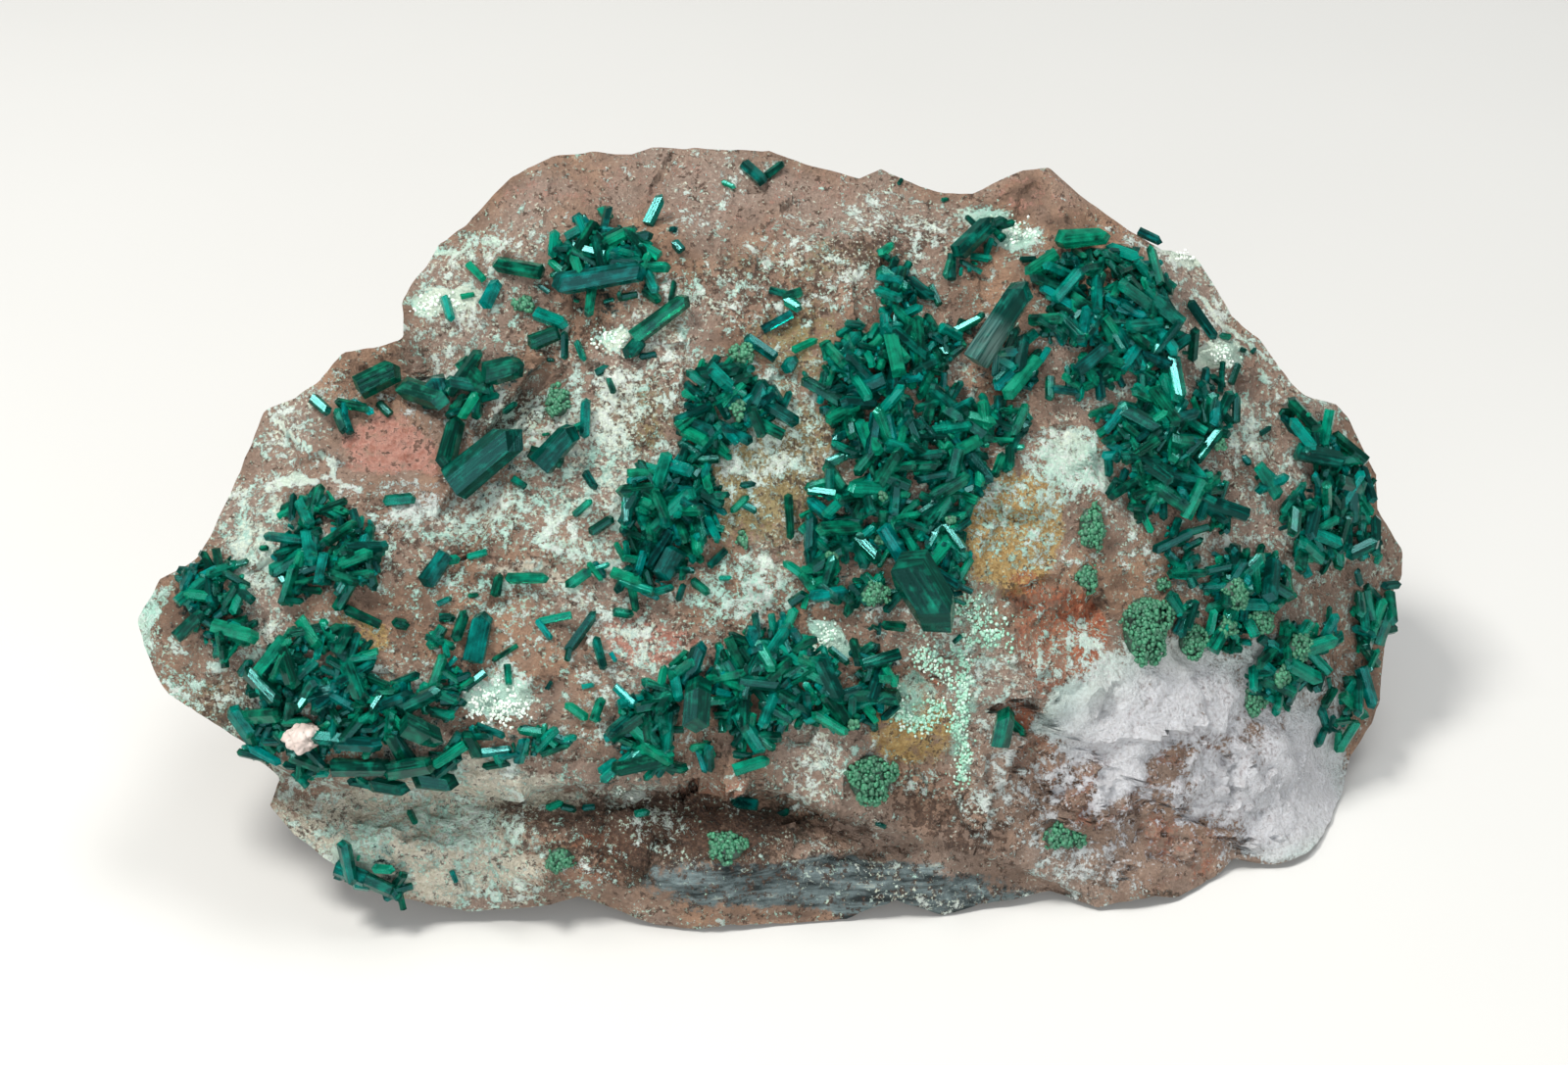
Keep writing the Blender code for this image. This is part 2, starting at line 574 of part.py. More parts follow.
def prism_shape(length, width):
    """A six-sided prism along +Z from its root, with the three sloping faces of its tip."""
    corner = np.arange(6) * pi / 3
    radius = width / 2
    ring = np.stack([np.cos(corner), np.sin(corner)], axis=1) * radius
    fall = TIP_SLOPE * radius
    top_heights = length - np.where(np.arange(6) % 2 == 0, fall, 2 * fall)
    root = np.column_stack([ring, np.zeros(6)])
    top = np.column_stack([ring * PRISM_TAPER, top_heights])
    points = np.vstack([root, top, [[0, 0, length]]])
    sides = [(i, (i + 1) % 6, 6 + (i + 1) % 6, 6 + i) for i in range(6)]
    tips = [(12, 6 + i, 6 + (i + 1) % 6, 6 + (i + 2) % 6) for i in (0, 2, 4)]
    return points, [tuple(range(5, -1, -1))] + sides + tips


def seat(surface, sight):
    """Where the line of sight at this place meets the block, or the plain face where it passes the rim."""
    bare = place(sight, face_height(sight))
    ray = bare - (EYE + ORIGIN_SHIFT)
    hit = surface.ray_cast(Vector(EYE + ORIGIN_SHIFT), Vector(ray).normalized())[0]
    return bare if hit is None else np.array(hit)


def crystal_prism(surface, crystal, root_height, turn):
    """One prism on the face: its points in space and its faces, with its root end sunk in."""
    sight = np.array([crystal.right, crystal.down], dtype=float)
    normal, scale = face_frame(sight)
    tilt = radians(crystal.tilt)
    along = cos(tilt) * SIGHT_RIGHT + sin(tilt) * SIGHT_UP
    along = along - normal * (along @ normal)
    along = along / np.linalg.norm(along)
    lean = radians(crystal.lean)
    axis = cos(lean) * along + sin(lean) * normal
    length = crystal.length * scale
    width = crystal.width * scale
    middle = seat(surface, sight) + normal * (root_height + 0.5 * length * sin(lean))
    side = np.cross(axis, normal)
    side = side / np.linalg.norm(side)
    third = np.cross(axis, side)
    first = cos(turn) * side + sin(turn) * third
    second = np.cross(axis, first)
    points, faces = prism_shape(length, width)
    points = points - np.array([0, 0, length / 2])
    return middle + points @ np.stack([first, second, axis]), faces


def inside(outline, sight):
    """Whether a sight lies inside an outline."""
    outline = np.array(outline, dtype=float)
    after = np.roll(outline, -1, axis=0)
    spans = (outline[:, 1] > sight[1]) != (after[:, 1] > sight[1])
    rise = np.where(after[:, 1] == outline[:, 1], 1.0, after[:, 1] - outline[:, 1])
    crossing = outline[:, 0] + (sight[1] - outline[:, 1]) * (after[:, 0] - outline[:, 0]) / rise
    return bool(np.count_nonzero(spans & (sight[0] < crossing)) % 2)


def scattered(outline, spacing, random):
    """Places inside an outline, on a shaken grid of this spacing."""
    outline = np.array(outline, dtype=float)
    low = outline.min(axis=0)
    high = outline.max(axis=0)
    places = []
    for right in np.arange(low[0] + spacing / 3, high[0], spacing):
        for down in np.arange(low[1] + spacing / 3, high[1], spacing):
            sight = np.array([right, down]) + random.uniform(-0.3, 0.3, 2) * spacing
            if inside(outline, sight):
                places.append(sight)
    return places


def crust_shape(surface, outline, random):
    """The crust that a cluster grows from: a low lumpy pad over the outline, rooted in the rock."""
    rim = [Vector(point) for point in outline]
    inner = [Vector(point) for point in scattered(outline, CRUST_STEP, random)]
    ring = list(range(len(rim)))
    sights, _, triangles, _, _, _ = delaunay_2d_cdt(rim + inner, [], [ring], 1, 1e-6)
    sights = np.array([tuple(sight) for sight in sights])
    low = []
    high = []
    for number, sight in enumerate(sights):
        normal, _ = face_frame(sight)
        share = CRUST_FALL if number < len(rim) else random.uniform(0.8, 1.5)
        base = seat(surface, sight)
        low.append(base - normal * CRUST_ROOT)
        high.append(base + normal * (SEAT_GAP + CRUST_HEIGHT * share))
    count = len(sights)
    faces = []
    for one, two, three in triangles:
        a, b, c = sights[[one, two, three]]
        turn = (b[0] - a[0]) * (c[1] - a[1]) - (b[1] - a[1]) * (c[0] - a[0])
        facing = (one, three, two) if turn > 0 else (one, two, three)
        faces.append(facing)
        faces.append(tuple(count + corner for corner in reversed(facing)))
    low_faces = faces[1::2]
    faces = faces[0::2] + low_faces
    border = {}
    for face in faces[:len(triangles)]:
        for start, end in zip(face, face[1:] + face[:1]):
            border[(start, end)] = True
    for start, end in border:
        if (end, start) not in border:
            faces.append((end, start, count + start, count + end))
    return np.array(high + low), faces


def combine(target, cutters, operation):
    """Applies one Boolean of the cutters to the target and takes the cutters away."""
    group = bpy.data.collections.new("cutters")
    for cutter in cutters:
        group.objects.link(cutter)
    modifier = target.modifiers.new(operation.lower(), "BOOLEAN")
    modifier.operation = operation
    modifier.solver = "EXACT"
    modifier.operand_type = "COLLECTION"
    modifier.collection = group
    bpy.context.view_layer.update()
    evaluated = target.evaluated_get(bpy.context.evaluated_depsgraph_get())
    result = bpy.data.meshes.new_from_object(evaluated)
    result.name = target.name
    target.modifiers.remove(modifier)
    target.data = result
    bpy.data.collections.remove(group)


def keep_largest_body(made):
    """Deletes loose chips, so that one closed body is left."""
    shape = bmesh.new()
    shape.from_mesh(made.data)
    unseen = set(shape.faces)
    bodies = []
    while unseen:
        front = [unseen.pop()]
        body = list(front)
        while front:
            face = front.pop()
            near = {other for edge in face.edges for other in edge.link_faces} & unseen
            unseen -= near
            front.extend(near)
            body.extend(near)
        bodies.append(body)
    bodies.sort(key=len)
    for body in bodies[:-1]:
        bmesh.ops.delete(shape, geom=body, context="FACES")
    shape.to_mesh(made.data)
    shape.free()


def fill_crystals(outline, chosen, random):
    """Prisms between the chosen ones: the first of a few random tilts that keeps both ends inside."""
    crystals = []
    for sight in scattered(outline, FILL_SPACING, random):
        length = random.uniform(*FILL_LENGTH)
        width = random.uniform(*FILL_WIDTH)
        lean = random.uniform(*FILL_LEAN)
        if any(np.hypot(sight[0] - big.right, sight[1] - big.down) < 0.4 * big.length for big in chosen):
            continue
        for tilt in random.uniform(-180, 180, 6):
            half = 0.5 * length * np.array([cos(radians(tilt)), -sin(radians(tilt))])
            if inside(outline, sight + half) and inside(outline, sight - half):
                crystals.append(Crystal(*sight, length, width, tilt, lean))
                break
    return crystals


def make_cluster(cluster, surface, clearance, material):
    """A cluster: prisms grown together on their crust, fitted to the rock below."""
    random = np.random.default_rng(cluster.seed)
    made = new_object(cluster.name, *crust_shape(surface, cluster.outline, random), material)
    chosen = [Crystal(*crystal) for crystal in cluster.crystals]
    crystals = chosen + fill_crystals(cluster.outline, chosen, random)
    prisms = []
    for number, crystal in enumerate(crystals):
        turn = random.uniform(0, pi / 3)
        shape = crystal_prism(surface, crystal, CRUST_HEIGHT, turn)
        prisms.append(new_object(f"prism_{number}", *shape))
    combine(made, prisms, "UNION")
    combine(made, [clearance], "DIFFERENCE")
    keep_largest_body(made)
    remove(prisms)
    return made


def make_lone_crystal(name, crystal, surface, clearance, material, random):
    """A crystal that lies on the bare rock, fitted to it along its underside."""
    sunk = 0.25 * crystal.width * SIGHT_DISTANCE / SIGHT_FOCAL
    shape = crystal_prism(surface, crystal, sunk, random.uniform(0, pi / 3))
    made = new_object(name, *shape, material)
    combine(made, [clearance], "DIFFERENCE")
    keep_largest_body(made)
    return made


def make_mound(mound, surface, clearance, material, random):
    """A malachite mound: a low rough dome fitted to the rock."""
    sight = np.array([mound.right, mound.down], dtype=float)
    normal, scale = face_frame(sight)
    shape = bmesh.new()
    bmesh.ops.create_icosphere(shape, subdivisions=2, radius=1.0)
    ball = np.array([tuple(vertex.co) for vertex in shape.verts])
    faces = [tuple(vertex.index for vertex in face.verts) for face in shape.faces]
    shape.free()
    ball *= 1 + random.uniform(-1, 1, (len(ball), 1)) * MOUND_ROUGHNESS
    across = SIGHT_RIGHT - normal * (SIGHT_RIGHT @ normal)
    across = across / np.linalg.norm(across)
    up = np.cross(normal, across)
    half_width = 0.5 * mound.width * scale
    half_height = 0.5 * mound.height * scale
    rise = 0.8 * min(half_width, half_height)
    frame = np.stack([across * half_width, up * half_height, normal * rise])
    made = new_object(mound.name, seat(surface, sight) + ball @ frame, faces, material)
    combine(made, [clearance], "DIFFERENCE")
    keep_largest_body(made)
    return made


def remove(objects):
    """Removes objects that have done their work."""
    for made in objects:
        bpy.data.objects.remove(made)


def mineral(name, colour, roughness):
    """A Principled material of one mineral."""
    material = bpy.data.materials.new(name)
    material.use_nodes = True
    shader = material.node_tree.nodes["Principled BSDF"]
    shader.inputs["Base Color"].default_value = (*colour, 1.0)
    shader.inputs["Roughness"].default_value = roughness
    shader.inputs["Metallic"].default_value = 0.0
    material.diffuse_color = (*colour, 1.0)
    return material


def main():
    """Builds the specimen."""
    remove(list(bpy.data.objects))
    rock_material = mineral("rock", (0.34, 0.20, 0.16), 0.9)
    dioptase_material = mineral("dioptase", (0.0, 0.15, 0.11), 0.2)
    malachite_material = mineral("malachite", (0.08, 0.32, 0.16), 0.7)
    rock, clearance = make_matrix(rock_material)
    surface = BVHTree.FromObject(rock, bpy.context.evaluated_depsgraph_get())
    for cluster in CLUSTERS:
        make_cluster(cluster, surface, clearance, dioptase_material)
    random = np.random.default_rng(51)
    for number, crystal in enumerate(LONE_CRYSTALS, start=1):
        name = f"dioptase_prism_{number:02d}"
        make_lone_crystal(name, crystal, surface, clearance, dioptase_material, random)
    for mound in MOUNDS:
        make_mound(mound, surface, clearance, malachite_material, random)
    remove([clearance])


main()
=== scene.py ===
"""The looks of a dioptase specimen: teal green prisms and malachite mounds on pinkish brown rock.

Places on the crystal face are given in sight units, as the face is seen square on: right and down from
the top left corner of the sight. Heights are in millimetres towards the viewer.
"""

from collections import namedtuple
from itertools import product
from math import cos, pi, radians, sin

import bpy
import numpy as np
from mathutils import Matrix, Vector
from mathutils.bvhtree import BVHTree


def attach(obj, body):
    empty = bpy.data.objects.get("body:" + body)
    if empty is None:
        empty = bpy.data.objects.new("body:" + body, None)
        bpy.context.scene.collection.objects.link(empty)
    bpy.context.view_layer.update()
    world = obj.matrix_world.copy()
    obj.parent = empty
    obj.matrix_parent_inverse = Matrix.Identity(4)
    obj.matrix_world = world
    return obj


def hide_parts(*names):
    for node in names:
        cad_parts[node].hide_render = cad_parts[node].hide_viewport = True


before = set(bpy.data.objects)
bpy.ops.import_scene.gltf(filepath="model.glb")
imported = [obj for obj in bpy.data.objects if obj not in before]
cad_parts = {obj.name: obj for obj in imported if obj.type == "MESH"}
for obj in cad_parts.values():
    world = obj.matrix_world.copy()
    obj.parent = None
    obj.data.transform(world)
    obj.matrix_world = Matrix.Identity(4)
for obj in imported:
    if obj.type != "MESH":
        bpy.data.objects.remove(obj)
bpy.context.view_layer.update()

bl_info = {
    "name": "Dioptase specimen",
    "version": (1, 0, 0),
    "blender": (4, 5, 0),
    "location": "View3D > Sidebar > Dioptase",
    "description": "Builds the rock, the dioptase prisms and the malachite mounds of a mineral specimen",
    "category": "Add Mesh",
}

MM = 0.001

# The line of sight square to the face
SIGHT_TILT = radians(36)
SIGHT_DISTANCE = 336 * MM
SIGHT_TARGET = np.array([0.0, 30.0, 30.0]) * MM
SIGHT_FOCAL = 2889.0
SIGHT_SIZE = (1600.0, 1087.0)
SIGHT_CENTRE = np.array(SIGHT_SIZE) / 2
SIGHT_FORWARD = np.array([0.0, cos(SIGHT_TILT), -sin(SIGHT_TILT)])
SIGHT_RIGHT = np.array([1.0, 0.0, 0.0])
SIGHT_UP = np.array([0.0, sin(SIGHT_TILT), cos(SIGHT_TILT)])
EYE = SIGHT_TARGET - SIGHT_FORWARD * SIGHT_DISTANCE
ORIGIN_SHIFT = np.array([-1.38, -27.67, 0.0]) * MM
SENSOR_WIDTH = 36.0

# The block's form
ROCK_MIDDLE = np.array([800.0, 560.0])
BACK_MIDDLE = np.array([4.0, 62.0, 33.0]) * MM
BACK_DEPTH = 55 * MM
BACK_LEAN = 0.06
BACK_ROUNDING = 6 * MM
BACK_HALF_WIDTH = 75 * MM
BACK_TAPER = 0.9
BACK_SMOOTHING = 0.03
BACK_ROUGHNESS = 1.6
CREST_THICKNESS = 9 * MM
BASE_SINK = 7.5 * MM
BASE_FADE = 11 * MM
BACK_TURN = 0.65
WAY_MARKS = 101
RING_STRIDE = 8

# Towards the rim the relief calms and turns to the line of sight, so that the outline keeps its shape
RIM_MARGIN = 1.5
RIM_PART = 0.42
RIM_RAMP = 0.24
RIM_CALM = 0.25
RIM_CALM_START, RIM_CALM_SPAN = 0.93, 0.06
RIM_EDGE_START, RIM_EDGE_SPAN = 0.9, 0.1
RIM_LEAST_FACING = 0.3
BLOCK_MIDDLE = np.array([0.0, 26.0, 33.0]) * MM
BLOCK_HALF_SIZE = np.array([72.0, 33.0, 36.0]) * MM

# The rock's relief: size of each noise's features, its height and seed
ROCK_LUMPS = ((17 * MM, 1.3 * MM, 11), (8 * MM, 0.7 * MM, 12), (4.5 * MM, 0.35 * MM, 13))
ROCK_GRAIN = ((2.4 * MM, 0.24 * MM, 14), (1.3 * MM, 0.16 * MM, 15), (0.9 * MM, 0.1 * MM, 16))
LATTICE = 32
WARP_SIZE, WARP_REACH, WARP_SEED = 3 * MM, 0.8 * MM, 17

# Broken facets: size, tilt, step and seed. Away from rust they are lower.
ROCK_FACETS = ((7 * MM, 0.16, 0.28 * MM, 18), (2.7 * MM, 0.2, 0.1 * MM, 21))
FACET_LATTICE = 16
FACET_LEAST = 0.4

# Long stripes on the slick, and low mounds of the pale crust: size, height and seed
STRIPES = (0.8 * MM, 0.22 * MM, 19)
STRIPE_STRETCH = np.array([0.12, 1, 1])
STRIPE_WARP = 0.3
PALE_RELIEF = (0.9 * MM, 0.14 * MM, 20)
SALMON_SMOOTHNESS = 0.75
SHARP_ANGLE = radians(42)

# The outline of the face, clockwise from its left tip, in sight units
RIM = (
    (140, 633), (163, 592), (199, 573), (218, 540), (235, 503), (258, 450), (270, 418), (300, 408),
    (325, 390), (350, 360), (385, 355), (412, 345), (410, 308), (419, 290), (436, 273), (448, 250),
    (476, 229), (502, 201), (522, 180), (563, 160), (604, 155), (645, 157), (665, 150), (706, 151),
    (739, 153), (785, 154), (826, 168), (877, 182), (899, 172), (939, 190), (964, 197), (993, 197),
    (1043, 174), (1070, 172), (1104, 202), (1143, 229), (1186, 256), (1219, 261), (1243, 297),
    (1256, 322), (1284, 345), (1317, 391), (1332, 406), (1363, 412), (1376, 426), (1390, 457),
    (1404, 485), (1404, 519), (1415, 536), (1431, 562), (1430, 590), (1423, 600), (1411, 672),
    (1407, 716), (1399, 739), (1376, 774), (1370, 809), (1358, 830), (1350, 853), (1335, 870),
    (1301, 883), (1259, 876), (1239, 895), (1201, 916), (1178, 914), (1120, 927), (1072, 909),
    (1001, 923), (962, 934), (914, 918), (863, 937), (798, 943), (744, 944), (710, 949), (668, 944),
    (629, 929), (590, 914), (563, 923), (520, 928), (479, 930), (440, 924), (412, 916), (338, 880),
    (299, 851), (275, 823), (286, 794), (262, 775), (250, 758), (227, 743), (206, 731), (171, 707),
    (155, 681),
)

# Heights of the face towards the viewer: right, down, millimetres
FACE_HEIGHTS = (
    (140, 633, 17.0), (163, 592, 17.0), (235, 503, 15.0), (270, 418, 12.0), (350, 360, 11.0),
    (412, 345, 9.0), (448, 250, 9.0), (522, 180, 8.0), (604, 155, 6.0), (683, 151, 5.0), (785, 154, 4.0),
    (882, 175, 3.0), (1000, 190, 2.0), (1070, 172, 1.0), (1127, 223, 1.0), (1219, 261, 0.0),
    (1297, 363, -2.0), (1376, 426, -5.0), (1431, 562, -10.0), (1411, 672, -10.0), (1387, 761, -9.0),
    (1370, 809, -6.5), (1335, 870, 2.4), (1259, 876, 3.6), (1201, 916, 8.2), (1120, 927, 9.4),
    (1001, 923, 9.6), (863, 937, 10.8), (700, 947, 12.0), (590, 914, 12.0), (464, 924, 12.0),
    (338, 880, 14.5), (275, 823, 17.0), (250, 758, 17.5), (171, 707, 17.0),
    (200, 640, 19.5), (260, 600, 19.0), (330, 470, 15.5), (350, 560, 19.0), (420, 650, 20.5),
    (350, 720, 21.5), (460, 780, 20.5), (300, 770, 19.5), (600, 780, 19.0), (760, 785, 18.5),
    (460, 300, 11.5), (560, 220, 11.0), (560, 330, 14.0), (700, 230, 10.5), (700, 360, 15.0),
    (600, 480, 17.0), (600, 640, 19.0), (800, 500, 17.5), (800, 650, 19.0), (900, 250, 8.5),
    (900, 400, 15.0), (950, 560, 16.5), (980, 700, 16.0), (900, 790, 16.5), (1040, 250, 7.5),
    (1050, 380, 12.0), (1100, 500, 13.0), (1100, 640, 13.5), (1060, 770, 13.5), (1150, 300, 7.5),
    (1200, 420, 8.0), (1250, 560, 6.0), (1300, 470, 2.0), (1200, 700, 9.5), (1300, 680, 3.0),
    (1300, 800, 2.5), (1380, 560, -5.0), (1380, 680, -6.5), (1200, 830, 8.5), (1050, 860, 12.0),
    (900, 880, 14.0), (700, 900, 14.5), (560, 880, 15.0), (430, 880, 15.5), (340, 860, 16.0),
    (450, 830, 16.0), (650, 840, 15.0),
)

# Steps of the face: the line along which it drops, the drop, and how far beside the line it recovers.
# The first is the overhanging ledge above the lower lip.
Step = namedtuple("Step", "line drop ramp reach")
LEDGE = Step(((236, 752), (330, 798), (470, 800), (600, 793), (720, 797), (816, 814), (890, 836)), 6.5, 9, 70)
FRACTURE = Step(((467, 486), (496, 440), (528, 397)), 3.0, 8, 70)
LIP_RIDGE = Step(((840, 872), (900, 858), (957, 853), (1018, 875), (1072, 897)), 1.4, 6, 60)
CREASE_LINE = ((406, 340), (424, 368), (440, 404))
CREASE_DEPTH = 2.0
CREASE_WIDTH = 11.0
CRACK_LINE = ((684, 160), (676, 178), (669, 192))
CRACK_DEPTH = 0.9
CRACK_WIDTH = 2.6

# Fitting the face: sight units in its own unit, how much it may ease past a height, and the reach over
# which its slope is taken
PLATE_UNIT = 1000
PLATE_EASE = 1e-5
SLOPE_REACH = 14.0

